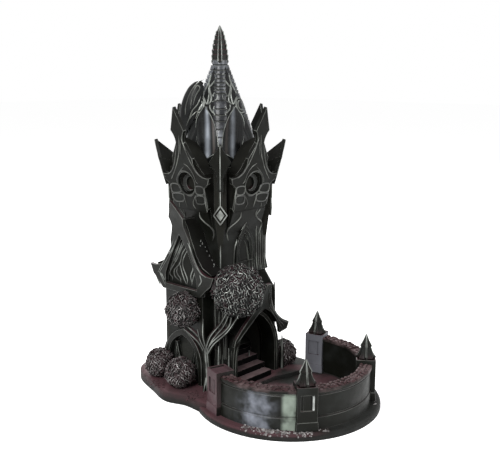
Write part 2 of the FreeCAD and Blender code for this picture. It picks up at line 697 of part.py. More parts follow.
def make_upper_shell():
    """Square shell of the upper storey with a flared skirt over the seam."""
    body = new_body("upper_shell")
    outside = rectangle_sketch(body, "Sizes.shell_half * 2", "Sizes.shell_half * 2", "Sizes.storey_seam")
    pad(body, outside, "Sizes.shell_top - Sizes.storey_seam")
    wide = "(Sizes.shell_half + Sizes.skirt_lip) * 2"
    skirt = rectangle_sketch(body, wide, wide, "Sizes.storey_seam")
    pad(body, skirt, "Sizes.skirt_height", taper="-8.3")
    shaft = rectangle_sketch(body, "Sizes.shaft_half * 2", "Sizes.shaft_half * 2", "Sizes.shell_top")
    pocket(body, shaft, "Sizes.shell_top - Sizes.storey_seam + 1")
    return keep("upper_shell", body)


def make_piers():
    """Diagonal piers at the corners of the upper storey, tapered to nothing at their feet."""
    pieces = []
    for corner, turn in CORNERS.items():
        body = new_body(f"pier_{corner}")
        upper = rectangle_sketch(body, "Sizes.pier_width", "Sizes.pier_width")
        pad(body, upper, "Sizes.shell_top - 2 - Sizes.pier_shoulder")
        lower = rectangle_sketch(body, "Sizes.pier_width", "Sizes.pier_width")
        pad(body, lower, "Sizes.pier_shoulder - Sizes.pier_foot", reverse=True, taper="-Sizes.pier_taper")
        half, proud = size("rib_width") / 2, size("rib_proud")
        front = -size("pier_width") / 2
        rib = [(-half, front + 0.5), (-half, front), (0, front - proud), (half, front), (half, front + 0.5)]
        pad(body, new_sketch(body, "XY_Plane", [rib]), "Sizes.horn_foot + 8 - Sizes.pier_shoulder")
        centre = size("pier_front") - size("pier_width") / 2
        pieces.append(place(body, y=-centre, z=size("pier_shoulder"), turn=turn))
    piers = grouped("pier_set", pieces)
    return keep("corner_piers", trimmed("corner_piers", piers, nodes["upper_shell"], blocks["shaft"]))


def make_horns():
    """Arrowhead horns that lean out over the corners, each with a small roof behind it."""
    foot, lean = size("horn_foot"), size("horn_lean")
    slope = math.tan(math.radians(lean))
    rise = 1 / math.cos(math.radians(lean))
    for corner, turn in CORNERS.items():
        body = new_body(f"corner_horn_{corner}")
        outline = symmetric([(2.3, 0), (2.6, 6), (8.7, 23.6, 3.2, 15.5), (0, 38.4)])
        pad(body, new_sketch(body, "XZ_Plane", [outline]), "Sizes.horn_thick")
        place(body, y=-size("horn_foot_back"), z=foot, turn=turn, lean=lean)
        shown = [(0, 37), (7.8, 23.4), (3, 11)]
        front = [(x, foot + w / rise) for x, w in shown + [(-x, w) for x, w in reversed(shown[1:])]]
        rear = [(0, 193), (4.5, 188), (2.5, 181), (-2.5, 181), (-4.5, 188)]
        block = prism_between(
            leaning_loop(front, size("horn_foot_back"), foot, slope), leaning_loop(rear, 34, foot, 0)
        )
        roof = solid_feature(f"horn_roof_{corner}", block)
        roof.Placement = Placement(Vector(), Rotation(UP, turn))
        fused = doc.addObject("Part::Fuse", f"horn_{corner}")
        fused.Base = body
        fused.Tool = roof
        horn = trimmed(f"corner_horn_{corner}", fused, nodes["upper_shell"], nodes["corner_piers"])
        keep(f"corner_horn_{corner}", horn)


def make_diamonds():
    """Diamond bosses on the corner piers."""
    pieces = []
    half, tall, sink = size("diamond_half"), size("diamond_tall"), 0.5
    outer, groove, boss = (
        [(half * share, 0), (0, tall * share), (-half * share, 0), (0, -tall * share)]
        for share in (1, 0.74, 0.52)
    )
    for corner, turn in CORNERS.items():
        body = new_body(f"diamond_{corner}")
        pad(body, new_sketch(body, "XZ_Plane", [outer], "-2"), "Sizes.diamond_proud + 2")
        pocket(body, new_sketch(body, "XZ_Plane", [groove], "Sizes.diamond_proud"), str(sink))
        pad(body, new_sketch(body, "XZ_Plane", [boss], f"Sizes.diamond_proud - {sink}"), str(2 * sink))
        pieces.append(place(body, y=-size("pier_front"), z=size("diamond_height"), turn=turn))
    bosses = trimmed("corner_diamonds", grouped("diamond_set", pieces), nodes["corner_piers"],
                     nodes["upper_shell"])
    return keep("corner_diamonds", bosses)


def make_gables():
    """The four upper gables: leaning ogee plates, the blocks behind them and their roofs."""
    lean, foot = size("gable_lean"), size("gable_foot")
    slope = math.tan(math.radians(lean))
    rise = 1 / math.cos(math.radians(lean))
    outline = ogee_gable(
        [(17.5, 0), (20.5, 4), (20.5, 22), (25, 25.1)], (27, 30.4), (11.8, 45.1), (4, 57.5), (7.7, 67.6), 86.6
    )
    eye_up = (size("eye_height") - foot) * rise
    housings, roofs, crescents = [], [], []
    for side, turn in SIDES.items():
        plate = new_body(f"gable_{side}")
        pad(plate, new_sketch(plate, "XZ_Plane", [outline]), "Sizes.gable_thick")
        pocket(plate, circle_sketch(plate, "XZ_Plane", 0, eye_up, "Sizes.eye_radius", "Sizes.gable_thick"),
               "Sizes.gable_thick")
        place(plate, y=-size("gable_foot_back"), z=foot, turn=turn, lean=lean)
        keep(f"gable_{side}", plate)
        housings.append(place(make_housing(side, slope), turn=turn))
        roof = solid_feature(f"gable_roof_{side}", gable_roof_shape(slope))
        roofs.append(place(roof, turn=turn))
        crescents.append(place(make_crescent(side), turn=turn))
    keep("gable_housings", trimmed("gable_housings", grouped("housing_set", housings), nodes["bay_roof"]))
    keep("gable_roofs", trimmed("gable_roofs", grouped("roof_set", roofs), nodes["upper_shell"]))
    keep("window_crescents", grouped("window_crescents", crescents))


def make_housing(side, slope):
    """Block between the wall and a gable plate, corbelled below, with a round recess for the window."""
    body = new_body(f"housing_{side}")
    wall, back = -size("shell_half"), -size("gable_foot_back")
    foot, top = size("gable_foot"), size("housing_top")
    profile = [(wall, size("housing_foot")), (back, foot), (back - slope * (top - foot), top), (wall, top)]
    pad(body, new_sketch(body, "YZ_Plane", [profile]), "Sizes.housing_half * 2", midplane=True)
    eye = circle_sketch(body, "XZ_Plane", 0, size("eye_height"), "Sizes.eye_radius", "Sizes.eye_floor + 12")
    pocket(body, eye, "12")
    return body


def gable_roof_shape(slope):
    """Roof that runs from a gable plate back to the foot of the dome."""
    low = size("housing_top")
    right = [(19.3, low), (15, 188.5), (11.2, 196), (4.6, 208)]
    front = right + [(0, 214)] + [(-x, z) for x, z in reversed(right)]
    rear = right[:-1] + [(4.6, 203), (0, 207)] + [(-4.6, 203)] + [(-x, z) for x, z in reversed(right[:-1])]
    return prism_between(
        leaning_loop(front, size("gable_foot_back"), size("gable_foot"), slope),
        leaning_loop(rear, size("dome_half") + size("roof_clearance"), low, 0),
    )


def make_crescent(side):
    """Raised crescent in a round window, open towards the front left or the rear right corner."""
    radius, proud = size("crescent_radius"), size("crescent_proud")
    open_side = -1 if side in ("front", "rear") else 1
    outwards = Vector(0, -1, 0)
    middle = Vector(0, -size("eye_floor"), size("eye_height"))
    disc = Part.makeCylinder(radius, proud, middle, outwards)
    beside = middle + Vector(open_side * radius * 0.36, 1, 0)
    bite = Part.makeCylinder(radius * 0.8, proud + 2, beside, outwards)
    return solid_feature(f"crescent_{side}", disc.cut(bite))


def make_lancets():
    """Tall pointed window frames, two steps deep, on the three plain faces of the upper storey."""
    frames = []
    half, foot, band = size("lancet_half"), size("lancet_foot") + size("skirt_height"), size("lancet_band")
    spring, apex = size("lancet_spring"), size("lancet_apex")
    arches = [
        pointed_arch(half - step * band, foot + 0.1 * step, spring, apex - step * band * 1.6)
        for step in range(3)
    ]
    for side in ("front", "right", "rear"):
        body = new_body(f"lancet_{side}")
        for step, share in ((0, 1.4), (1, 0.8)):
            sketch = new_sketch(body, "XZ_Plane", arches[step:step + 2], "Sizes.shell_half")
            pad(body, sketch, f"Sizes.lancet_proud * {share}")
        frames.append(place(body, turn=SIDES[side]))
    return keep("lancet_frames", trimmed("lancet_frames", grouped("lancet_set", frames),
                                         nodes["upper_shell"], nodes["gable_housings"]))


# ---------------------------------------------------------------- lift-off roof


def dome_sections():
    """Heights and half widths of the dome's squares, from its foot up to the spire."""
    foot, top, half = size("shell_top"), size("dome_top"), size("dome_half")
    shares = [(0, 1), (0.2, 0.93), (0.38, 0.8), (0.53, 0.67), (0.67, 0.52), (0.83, 0.36), (1, 0.18)]
    return [(foot + share * (top - foot), spread * half) for share, spread in shares]


def dome_shape(extra=0):
    """The dome as a solid, made wider all round by a given amount."""
    wires = [rounded_square(height, half + extra) for height, half in dome_sections()]
    return Part.makeLoft(wires, True, False)


def rounded_square(height, half):
    """Wire of a square with round corners, at one height."""
    soft = half * 0.45
    flat = half - soft
    edges = []
    for quarter in range(4):
        turn = Rotation(UP, 90 * quarter)
        centre = Vector(flat, flat, height)
        arc = Part.Arc(Vector(half, flat, height), centre + Vector(soft, soft, 0) * math.sqrt(0.5),
                       Vector(flat, half, height))
        line = Part.LineSegment(Vector(half, -flat, height), Vector(half, flat, height))
        for edge in (line.toShape(), arc.toShape()):
            edge.Placement = Placement(Vector(), turn)
            edges.append(edge)
    return Part.Wire(edges)


def make_roof():
    """Lift-off roof: plug, dome, corner spines, petals, side lobe and spire."""
    plug = new_body("lid_plug")
    wide = "(Sizes.shaft_half - Sizes.plug_gap) * 2"
    pad(plug, rectangle_sketch(plug, wide, wide, "Sizes.shell_top"), "Sizes.plug_depth", reverse=True)
    keep("lid_plug", plug)
    keep("roof_dome", solid_feature("roof_dome", dome_shape()))
    make_spire()
    make_spines()
    make_petals()
    make_lobe()


def make_lobe():
    """Flat egg-shaped lobe that leans against the dome's rear left corner."""
    lobe = doc.addObject("Part::Ellipsoid", "lobe_block")
    for radius, alias in (("Radius1", "lobe_tall"), ("Radius2", "lobe_thick"), ("Radius3", "lobe_deep")):
        lobe.setExpression(radius, f"Sizes.{alias}")
    lobe.Angle1, lobe.Angle2, lobe.Angle3 = -90, 90, 360
    place(lobe, y=-size("lobe_distance"), z=size("lobe_height"), turn=CORNERS["rear_left"],
          lean=size("lobe_lean"))
    dome = [nodes[name] for name in ("roof_dome", "roof_spines", "roof_petals")]
    return keep("roof_lobe", trimmed("roof_lobe", lobe, *dome))


def make_spire():
    """Spire of stacked tiers, each flaring to a sharp edge above the next."""
    body = new_body("roof_spire")
    foot, tip = size("dome_top"), size("spire_tip")
    tall = tip - foot
    tiers = [(0.08, 7.4), (0.34, 6.7), (0.55, 5.6), (0.77, 4.1)]
    profile = [(0, foot), (6, foot)]
    for share, radius in tiers:
        height = foot + share * tall
        profile += [(radius, height), (radius * 0.84, height + 1.2)]
    profile.append((0, tip))
    sketch = new_sketch(body, "XZ_Plane", [profile])
    turned = body.newObject("PartDesign::Revolution", "roof_spire_turned")
    turned.Profile = sketch
    turned.ReferenceAxis = (sketch, ["V_Axis"])
    turned.Angle = 360
    return keep("roof_spire", body)


def make_spines():
    """Segmented ridges up the four corners of the dome, to the foot of the spire."""
    pieces = []
    sections = dome_sections()[1:]
    reach = [(-half * 1.228, height) for height, half in sections]
    outer = [(r - size("spine_proud"), z) for r, z in reach]
    inner = [(r + 3, z) for r, z in reversed(reach)]
    for corner, turn in CORNERS.items():
        body = new_body(f"spine_{corner}")
        pad(body, new_sketch(body, "YZ_Plane", [outer + inner]), "Sizes.spine_width", midplane=True)
        pieces.append(place(body, turn=turn))
    return keep("roof_spines", trimmed("roof_spines", grouped("spine_set", pieces), nodes["roof_dome"]))


def make_petals():
    """Broad pointed panels that lie on the foot of the dome, two on each face, fanned about its middle."""
    pieces = []
    foot, shoulder, apex = (9.3, 193), (19.2, 205), (-1.2, 235)
    petal = [shoulder + (16.2, 197), apex + (13.2, 221), foot + (-6.9, 217)]
    for side, turn in SIDES.items():
        for hand in (-1, 1):
            body = new_body(f"petal_{side}_{'left' if hand < 0 else 'right'}")
            flipped = [(hand * p[0], p[1]) + ((hand * p[2], p[3]) if len(p) == 4 else ()) for p in petal]
            pad(body, new_sketch(body, "XZ_Plane", [flipped], "Sizes.petal_start"), "Sizes.dome_half")
            pieces.append(place(body, turn=turn))
    every = doc.addObject("Part::MultiFuse", "petal_set")
    every.Shapes = pieces
    laid = doc.addObject("Part::Common", "petals_on_dome")
    laid.Base = every
    laid.Tool = solid_feature("dome_and_petals", dome_shape(size("petal_thick")))
    return keep("roof_petals", trimmed("roof_petals", laid, nodes["roof_dome"], nodes["roof_spines"]))


# ---------------------------------------------------------------- trees and bushes


def limb(stations):
    """Round limb along a bent line, from its points and the radius at each."""
    shape = None
    for (start, wide), (end, thin) in zip(stations, stations[1:]):
        along = Vector(*end) - Vector(*start)
        piece = Part.makeCone(wide, thin, along.Length, Vector(*start), along)
        piece = piece.fuse(Part.makeSphere(thin, Vector(*end)))
        shape = piece if shape is None else shape.fuse(piece)
    return shape


def sphere(name, radius, middle):
    """Ball with its radius bound to a formula."""
    ball = doc.addObject("Part::Sphere", name)
    ball.setExpression("Radius", radius)
    ball.Placement = Placement(Vector(*middle), Rotation())
    return ball


def leaf_mass(name, radius, middle):
    """Round mass of leaves: a core under clumps that the golden angle spreads evenly over it."""
    reach = size(radius) - size("clump_radius")
    count = round(4 * math.pi * (size(radius) / size("clump_pitch")) ** 2)
    golden_angle = math.pi * (3 - math.sqrt(5))
    balls = [sphere(f"{name}_core", f"Sizes.{radius} - Sizes.clump_proud", middle)]
    for clump in range(count):
        rise = 1 - (2 * clump + 1) / count
        spread, turn = math.sqrt(1 - rise * rise), clump * golden_angle
        outwards = Vector(spread * math.cos(turn), spread * math.sin(turn), rise)
        centre = Vector(*middle) + outwards * reach
        balls.append(sphere(f"{name}_clump_{clump}", "Sizes.clump_radius", centre))
    mass = doc.addObject("Part::MultiFuse", f"{name}_mass")
    mass.Shapes = balls
    return mass


def make_foliage():
    """Tree at the front corner with its two crowns, and the bushes around the foot of the tower."""
    beside = ("lower_shell", "buttresses", "door_arch", "upper_shell", "bay_roof", "bay_sill", "bay_gable",
              "blind_arch", "porch_roof", "porch_gable", "base_plate", "tray_pillar_left_rear",
              "tray_pillar_right_rear", "tray_coping_left")
    around = [nodes[name] for name in beside] + list(blocks.values())
    tree = limb(TREE_TRUNK).fuse(limb(RIGHT_BOUGH)).fuse(limb(LEFT_BOUGH))
    trunk = keep("tree_trunk", trimmed("tree_trunk", solid_feature("tree_block", tree), *around))
    for name, (radius, middle) in LEAF_BALLS.items():
        keep(name, trimmed(name, leaf_mass(name, radius, middle), trunk, *around))


# ---------------------------------------------------------------- whole object


def check_and_export():
    """Stops on any failed object or bad shape, then writes one file for each piece."""
    doc.recompute()
    failed = [o.Label for o in doc.Objects if "Invalid" in o.State or "Error" in o.State]
    if failed:
        raise RuntimeError(f"these objects failed: {failed}")
    os.makedirs("parts", exist_ok=True)
    for name, piece in nodes.items():
        shape = piece.Shape
        if shape.isNull() or not shape.isValid() or not shape.Solids:
            raise RuntimeError(f"the shape of {name} is bad")
        shape.exportStep(f"parts/{name}.step")
        box = shape.BoundBox
        print(f"{name:24s} solids {len(shape.Solids)}  volume {shape.Volume:9.0f}  "
              f"z {box.ZMin:6.1f} to {box.ZMax:6.1f}")


def main():
    """Builds the tower from the ground up."""
    fill_sheet()
    make_base()
    make_tray()
    make_lower_shell()
    blocks.update(make_trimming_blocks())
    make_door_arch()
    make_porch_gable()
    make_porch_roof()
    make_stairs()
    make_dice_path()
    make_upper_shell()
    make_bay()
    make_buttresses()
    make_piers()
    make_horns()
    make_diamonds()
    make_gables()
    make_lancets()
    make_roof()
    make_foliage()
    check_and_export()


main()
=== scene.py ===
"""Looks of a printed gothic dice tower: its finishes, its carving, its leaves and the studio round it.

Lengths are in millimetres in the tower's own frame, and become metres when a mesh is made. The tower
stands on the origin with +Z up, the door and the tray are on the -Y side, and the bay on the -X side.
"""

import logging
import math
from collections.abc import Sequence
from dataclasses import dataclass, field
from enum import Enum

import bmesh
import bpy
import numpy as np
from mathutils import Matrix


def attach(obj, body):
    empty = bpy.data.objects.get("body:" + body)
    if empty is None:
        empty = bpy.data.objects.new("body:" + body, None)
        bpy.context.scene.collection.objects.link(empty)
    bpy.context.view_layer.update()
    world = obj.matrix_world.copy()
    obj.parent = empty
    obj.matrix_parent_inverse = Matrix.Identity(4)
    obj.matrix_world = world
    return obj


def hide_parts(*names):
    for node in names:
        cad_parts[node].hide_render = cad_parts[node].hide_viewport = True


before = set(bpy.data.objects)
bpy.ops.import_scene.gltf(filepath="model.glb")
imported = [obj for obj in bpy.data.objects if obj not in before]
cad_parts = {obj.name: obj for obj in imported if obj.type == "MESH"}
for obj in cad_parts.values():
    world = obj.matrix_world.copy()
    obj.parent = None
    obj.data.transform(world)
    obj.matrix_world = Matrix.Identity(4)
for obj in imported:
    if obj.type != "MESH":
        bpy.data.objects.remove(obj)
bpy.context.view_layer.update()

LOG = logging.getLogger("dice_tower")
MM = 0.001
TRAY_MIDDLE = 77.0
UP = np.array([0.0, 0.0, 1.0])
GOLDEN_ANGLE = math.pi * (3 - math.sqrt(5))
Array = np.ndarray
Mesh = bpy.types.Mesh
Material = bpy.types.Material
Line = Sequence[tuple[float, ...]]
Pair = tuple[float, float]
Point = tuple[float, float, float]
Colour = tuple[float, float, float]


class Side(Enum):
    """The four faces of the tower, by the turn about Z from the -Y face."""

    FRONT = 0
    RIGHT = 90
    REAR = 180
    LEFT = -90

    @property
    def hand(self) -> int:
        """Which way the face's carving runs: 1 as on the left face, -1 mirrored as on the front."""
        return 1 if self in (Side.LEFT, Side.RIGHT) else -1


class Corner(Enum):
    """The four corners of the tower, by the turn about Z from the -Y direction."""

    FRONT_LEFT = -45
    FRONT_RIGHT = 45
    REAR_RIGHT = 135
    REAR_LEFT = -135

    @property
    def out(self) -> Array:
        """Level direction from the axis to the corner."""
        return turned(np.array([0.0, -1.0, 0.0]), self.value)

    @property
    def side(self) -> Array:
        """Level direction square to that."""
        return np.cross(UP, self.out)


class Tone(Enum):
    """Which of a piece's finishes a face takes: body, edge with a painted highlight, or edge with a dim
    painted highlight.
    """

    BODY = 0
    EDGE = 1
    DIM = 2


# ---- shader maths


class Value:
    """A socket that carries a number, with the arithmetic that adds Math nodes."""

    def __init__(self, nodes: "NodeBook", socket: bpy.types.NodeSocket) -> None:
        """Wraps a socket of a node in the given book."""
        self.nodes = nodes
        self.socket = socket

    def maths(self, operation: str, *others: "Value | float") -> "Value":
        """Adds one Math node, with the others in its next sockets."""
        return self.nodes.maths(operation, self, *others)

    def __add__(self, other: "Value | float") -> "Value":
        """Sum."""
        return self.maths("ADD", other)

    __radd__ = __add__

    def __mul__(self, other: "Value | float") -> "Value":
        """Product."""
        return self.maths("MULTIPLY", other)

    __rmul__ = __mul__

    def __sub__(self, other: "Value | float") -> "Value":
        """Difference."""
        return self.maths("SUBTRACT", other)

    def __rsub__(self, other: float) -> "Value":
        """Difference from a number."""
        return self.nodes.maths("SUBTRACT", other, self)

    def between(self, low: float, high: float) -> "Value":
        """A smooth step from 0 at one value to 1 at another."""
        return self.nodes.add("ShaderNodeMapRange", {"interpolation_type": "SMOOTHSTEP"},
                              {"Value": self, "From Min": low, "From Max": high})


class NodeBook:
    """The nodes of one material or world."""

    def __init__(self, owner: Material | bpy.types.World) -> None:
        """Takes over a material or a world and empties its node tree.

        Args:
            owner: the material or world.
        """
        owner.use_nodes = True
        self.tree = owner.node_tree
        self.tree.nodes.clear()

    def feed(self, socket: bpy.types.NodeSocket, given: object) -> None:
        """Links a value into a socket, or sets a plain number or colour on it.

        Args:
            socket: the socket that is fed.
            given: the value, number or colour.
        """
        if isinstance(given, Value):
            self.tree.links.new(given.socket, socket)
        else:
            socket.default_value = given

    def add(self, kind: str, settings: dict | None = None, inputs: dict | None = None,
            output: str | int = 0) -> Value | None:
        """Adds any node.

        Args:
            kind: the node's type.
            settings: attributes that are set before its sockets.
            inputs: numbers, colours or values by the name or number of a socket.
            output: which of its outputs is returned.

        Returns:
            The output, wrapped, or nothing for a node that ends the tree.
        """
        node = self.tree.nodes.new(kind)
        for name, setting in (settings or {}).items():
            setattr(node, name, setting)
        for name, given in (inputs or {}).items():
            self.feed(node.inputs[name], given)
        return Value(self, node.outputs[output]) if node.outputs else None

    def maths(self, operation: str, *given: Value | float) -> Value:
        """Adds a Math node with the given inputs."""
        return self.add("ShaderNodeMath", {"operation": operation}, dict(enumerate(given)))

    def mix(self, share: Value | float, *colours: Value | Colour) -> Value:
        """Mixes two colours by a share."""
        first, second = ((*colour, 1.0) if isinstance(colour, tuple) else colour for colour in colours)
        return self.add("ShaderNodeMix", {"data_type": "RGBA"}, {0: share, 6: first, 7: second}, output=2)

    def place(self) -> Value:
        """Object coordinates, in metres."""
        return self.add("ShaderNodeTexCoord", output="Object")

    def axis(self, vector: Value, name: str) -> Value:
        """One component of a vector."""
        return self.add("ShaderNodeSeparateXYZ", inputs={0: vector}, output=name)

    def facing(self, name: str) -> Value:
        """How far the surface faces along an axis, from -1 to 1."""
        return self.axis(self.add("ShaderNodeTexCoord", output="Normal"), name)

    def noise(self, scale: float, detail: float = 3.0, roughness: float = 0.5) -> Value:
        """Cloudy noise in object space, with its scale in clouds per metre."""
        return self.add("ShaderNodeTexNoise", {"noise_dimensions": "3D"},
                        {"Vector": self.place(), "Scale": scale, "Detail": detail, "Roughness": roughness})

    def seen_directly(self) -> Value:
        """Tells seen surroundings from those that only give light.

        Returns:
            1 for rays from the camera, from gloss and through glass, and 0 for the light on the object.
        """
        seen = [self.add("ShaderNodeLightPath", output=f"Is {ray} Ray")
                for ray in ("Camera", "Glossy", "Transmission")]
        return seen[0].maths("MAXIMUM", seen[1]).maths("MAXIMUM", seen[2])


# ---- finishes


@dataclass(frozen=True)
class Silk:
    """Silk black print: almost black, wine red where it faces up, with fine layers and soft mottling of
    wear, which is painted highlight on the finishes whose pale is bright.

    Attributes:
        name: name of the material.
        dark: colour of upright faces.
        wine: colour of faces that look up.
        pale: colour of its mottled patches: wear, and painted highlight where it is bright.
        wear_and_sheen: share of pale that the mottling may reach.
        roughness: roughness of upright faces.
        gloss: strength of its reflections, where 0.5 is plain plastic.
        layers: height of one printed layer, in millimetres.
        grain: depth of the layers and the grain, in millimetres.
        blush: share of wine on faces that look to the left, down by the ground.
        low: heights from which, and down to which, that blush grows, in metres.
    """

    name: str
    dark: Colour = (0.0062, 0.0066, 0.005)
    wine: Colour = (0.032, 0.0115, 0.0145)
    pale: Colour = (0.035, 0.038, 0.037)
    wear_and_sheen: float = 0.3
    roughness: float = 0.42
    gloss: float = 0.125
    layers: float = 0.32
    grain: float = 0.02
    blush: float = 0.0
    low: Pair = (0.075, 0.02)

    def material(self) -> Material:
        """Builds the finish.

        Returns:
            A material with a silk shader, whose roughness varies a little.
        """
        made = bpy.data.materials.new(self.name)
        nodes = NodeBook(made)
        colour = self.colour(nodes)
        rough = nodes.noise(140, 3).between(0.3, 0.75) * 0.14 + (self.roughness - 0.07)
        shader = nodes.add("ShaderNodeBsdfPrincipled", inputs={
            "Base Color": colour, "Roughness": rough, "Normal": self.bump(nodes), "IOR": 1.5,
            "Specular IOR Level": self.gloss})
        nodes.add("ShaderNodeOutputMaterial", inputs={"Surface": shader})
        return made

    def colour(self, nodes: NodeBook) -> Value:
        """Colour of the surface, which other prints of this family change.

        Args:
            nodes: the nodes that it is added to.

        Returns:
            Dark, turning to wine by the way the surface faces, with mottling of wear and painted highlight
            over both.
        """
        up = nodes.facing("Z").between(0.25, 0.8)
        if self.blush:
            low = nodes.axis(nodes.place(), "Z").between(*self.low)
            left = nodes.facing("X").between(-0.2, -0.9)
            up = up.maths("MAXIMUM", left * low * self.blush)
        mottle_and_sheen = nodes.noise(55, 4).between(0.42, 0.72) * self.wear_and_sheen
        return nodes.mix(mottle_and_sheen, nodes.mix(up, self.dark, self.wine), self.pale)

    def bump(self, nodes: NodeBook) -> Value:
        """Relief of the surface.

        Args:
            nodes: the nodes that it is added to.

        Returns:
            A bump of layer lines, a sine along Z, with a fine and a coarse grain.
        """
        height = nodes.axis(nodes.place(), "Z")
        lines = (height * (2 * math.pi / (self.layers * MM))).maths("SINE") * 0.5
        relief = lines + nodes.noise(900, 2) * 1.4 + nodes.noise(160, 3) * 2.0
        return nodes.add("ShaderNodeBump", inputs={"Height": relief, "Distance": self.grain * MM})


@dataclass(frozen=True)
class HighlightRidge:
    """Edges and ridges of the print with a painted highlight, pale in small spots.

    Attributes:
        name: name of the material.
        low: colour where the painted highlight is faint.
        high: colour where the painted highlight is brightest.
        roughness: its roughness.
        scale: how fine its highlight spots are.
    """

    name: str
    low: Colour = (0.05, 0.053, 0.048)
    high: Colour = (0.3, 0.32, 0.3)
    roughness: float = 0.32
    scale: float = 85.0

    def material(self) -> Material:
        """Builds the finish.

        Returns:
            A material that runs from a faint to a bright painted highlight in small spots.
        """
        made = bpy.data.materials.new(self.name)
        nodes = NodeBook(made)
        highlight_spots = nodes.noise(self.scale, 3).between(0.34, 0.66)
        colour = nodes.mix(highlight_spots, self.low, self.high)
        shader = nodes.add("ShaderNodeBsdfPrincipled", inputs={
            "Base Color": colour, "Roughness": self.roughness, "Metallic": highlight_spots * 0.3, "IOR": 1.5})
        nodes.add("ShaderNodeOutputMaterial", inputs={"Surface": shader})
        return made


@dataclass(frozen=True)
class ReflectionPatches(Silk):
    """Silk print with cloudy bright patches of painted reflection on the wall by the left pillar.

    Attributes:
        patch: colour of the painted reflection far from the pillar.
        warm: colour of the painted reflection beside the pillar.
        left: x over which the wall becomes the left stretch, in metres.
        start: y over which the far patch sets in.
        end: y over which it ends.
        beside: y over which the patch beside the pillar sets in.
    """

    patch: Colour = (0.28, 0.3, 0.35)
    warm: Colour = (0.27, 0.32, 0.27)
    left: Pair = (-0.034, -0.04)
    start: Pair = (-0.079, -0.092)
    end: Pair = (-0.117, -0.106)
    beside: Pair = (-0.1155, -0.1185)

    def colour(self, nodes: NodeBook) -> Value:
        """Colour of the surface.

        Args:
            nodes: the nodes that it is added to.

        Returns:
            Dark silk, with clouds of the two painted reflection colours on the left stretch near its
            pillar.
        """
        place = nodes.place()
        along = nodes.axis(place, "Y")
        outside = nodes.axis(place, "X").between(*self.left) * nodes.facing("X").between(0.1, -0.1)
        reflection_clouds = nodes.noise(30, 4, 0.55).between(0.4, 0.62)
        fade = nodes.noise(95, 3).between(0.2, 0.62) * 0.5 + 0.5
        far = along.between(*self.start) * along.between(*self.end)
        near = along.between(*self.beside) * (nodes.noise(60, 3).between(0.4, 0.56) * 0.75 + 0.25)
        colour = nodes.mix(reflection_clouds * far * outside * fade, super().colour(nodes), self.patch)
        return nodes.mix(near * outside * fade, colour, self.warm)


@dataclass(frozen=True)
class Earth(Silk):
    """Silk print of the ground: wine red on its left and in patches on the tray's floor, else dark.

    Attributes:
        middle: distance of the tray's centre from the tower's axis, in metres.
        disc: radius over which the tray's floor ends.
        slope: how far the wine side's border moves in x for each unit of y.
        border: place over which that side sets in.
        rim: height over which the plate's side turns from dark to blush.
    """

    middle: float = TRAY_MIDDLE * MM
    disc: Pair = (0.058, 0.054)
    slope: float = 0.55
    border: Pair = (0.012, -0.034)
    rim: Pair = (0.001, 0.0075)

    def colour(self, nodes: NodeBook) -> Value:
        """Colour of the surface.

        Args:
            nodes: the nodes that it is added to.

        Returns:
            Dark silk, turned to wine by the place, the facing and the patches.
        """
        place = nodes.place()
        across, along = nodes.axis(place, "X"), nodes.axis(place, "Y") + self.middle
        reach = (across * across + along * along).maths("SQRT")
        floor = reach.between(*self.disc) * nodes.noise(30, 4).between(0.42, 0.6)
        left = (across - along * self.slope).between(*self.border)
        side = nodes.facing("X").between(-0.1, -0.8) * nodes.axis(place, "Z").between(*self.rim)
        side = side * self.blush
        share = nodes.facing("Z").between(0.1, 0.7).maths("MAXIMUM", side) * left.maths("MAXIMUM", floor)
        mottle_and_sheen = nodes.noise(70, 5, 0.6).between(0.4, 0.75) * self.wear_and_sheen
        return nodes.mix(mottle_and_sheen, nodes.mix(share, self.dark, self.wine), self.pale)


@dataclass(frozen=True)
class Shell(Silk):
    """Silk print of the lower walls, with a dull grey painted light inside the shaft.

    Attributes:
        inside: colour painted on the inner faces as light.
        reach: half the width of the shaft and a little more, in metres.
    """

    inside: Colour = (0.052, 0.052, 0.044)
    reach: float = 0.0245

    def colour(self, nodes: NodeBook) -> Value:
        """Colour of the surface.

        Args:
            nodes: the nodes that it is added to.

        Returns:
            Dark silk, turned to the painted light colour within the shaft's square.
        """
        place = nodes.place()
        across, along = (nodes.axis(place, way).maths("ABSOLUTE") for way in "XY")
        painted_light_mask = across.between(self.reach + MM, self.reach) * along.between(self.reach + MM, self.reach)
        return nodes.mix(painted_light_mask, super().colour(nodes), self.inside)


@dataclass(frozen=True)
class Panel(Silk):
    """Silk print of the bay's wall, with painted light on the shaded panel inside its blind arch.

    Attributes:
        inside: colour of the painted light on the panel.
        half: half the panel's width, in metres.
        spring: height from which it narrows, in metres.
        narrowing: how fast it does so.
        top: height over which the painted light ends, in metres.
    """

    inside: Colour = (0.03, 0.031, 0.027)
    half: float = 0.0155
    spring: float = 0.024
    narrowing: float = 0.55
    top: Pair = (0.044, 0.034)

    def colour(self, nodes: NodeBook) -> Value:
        """Colour of the surface.

        Args:
            nodes: the nodes that it is added to.

        Returns:
            Dark silk, turned to the painted light colour inside the arch.
        """
        place = nodes.place()
        across, height = nodes.axis(place, "Y").maths("ABSOLUTE"), nodes.axis(place, "Z")
        narrow = (height - self.spring).maths("MAXIMUM", 0.0) * self.narrowing
        painted_light_mask = (across + narrow).between(self.half + MM, self.half - MM) * height.between(*self.top)
        return nodes.mix(painted_light_mask, super().colour(nodes), self.inside)


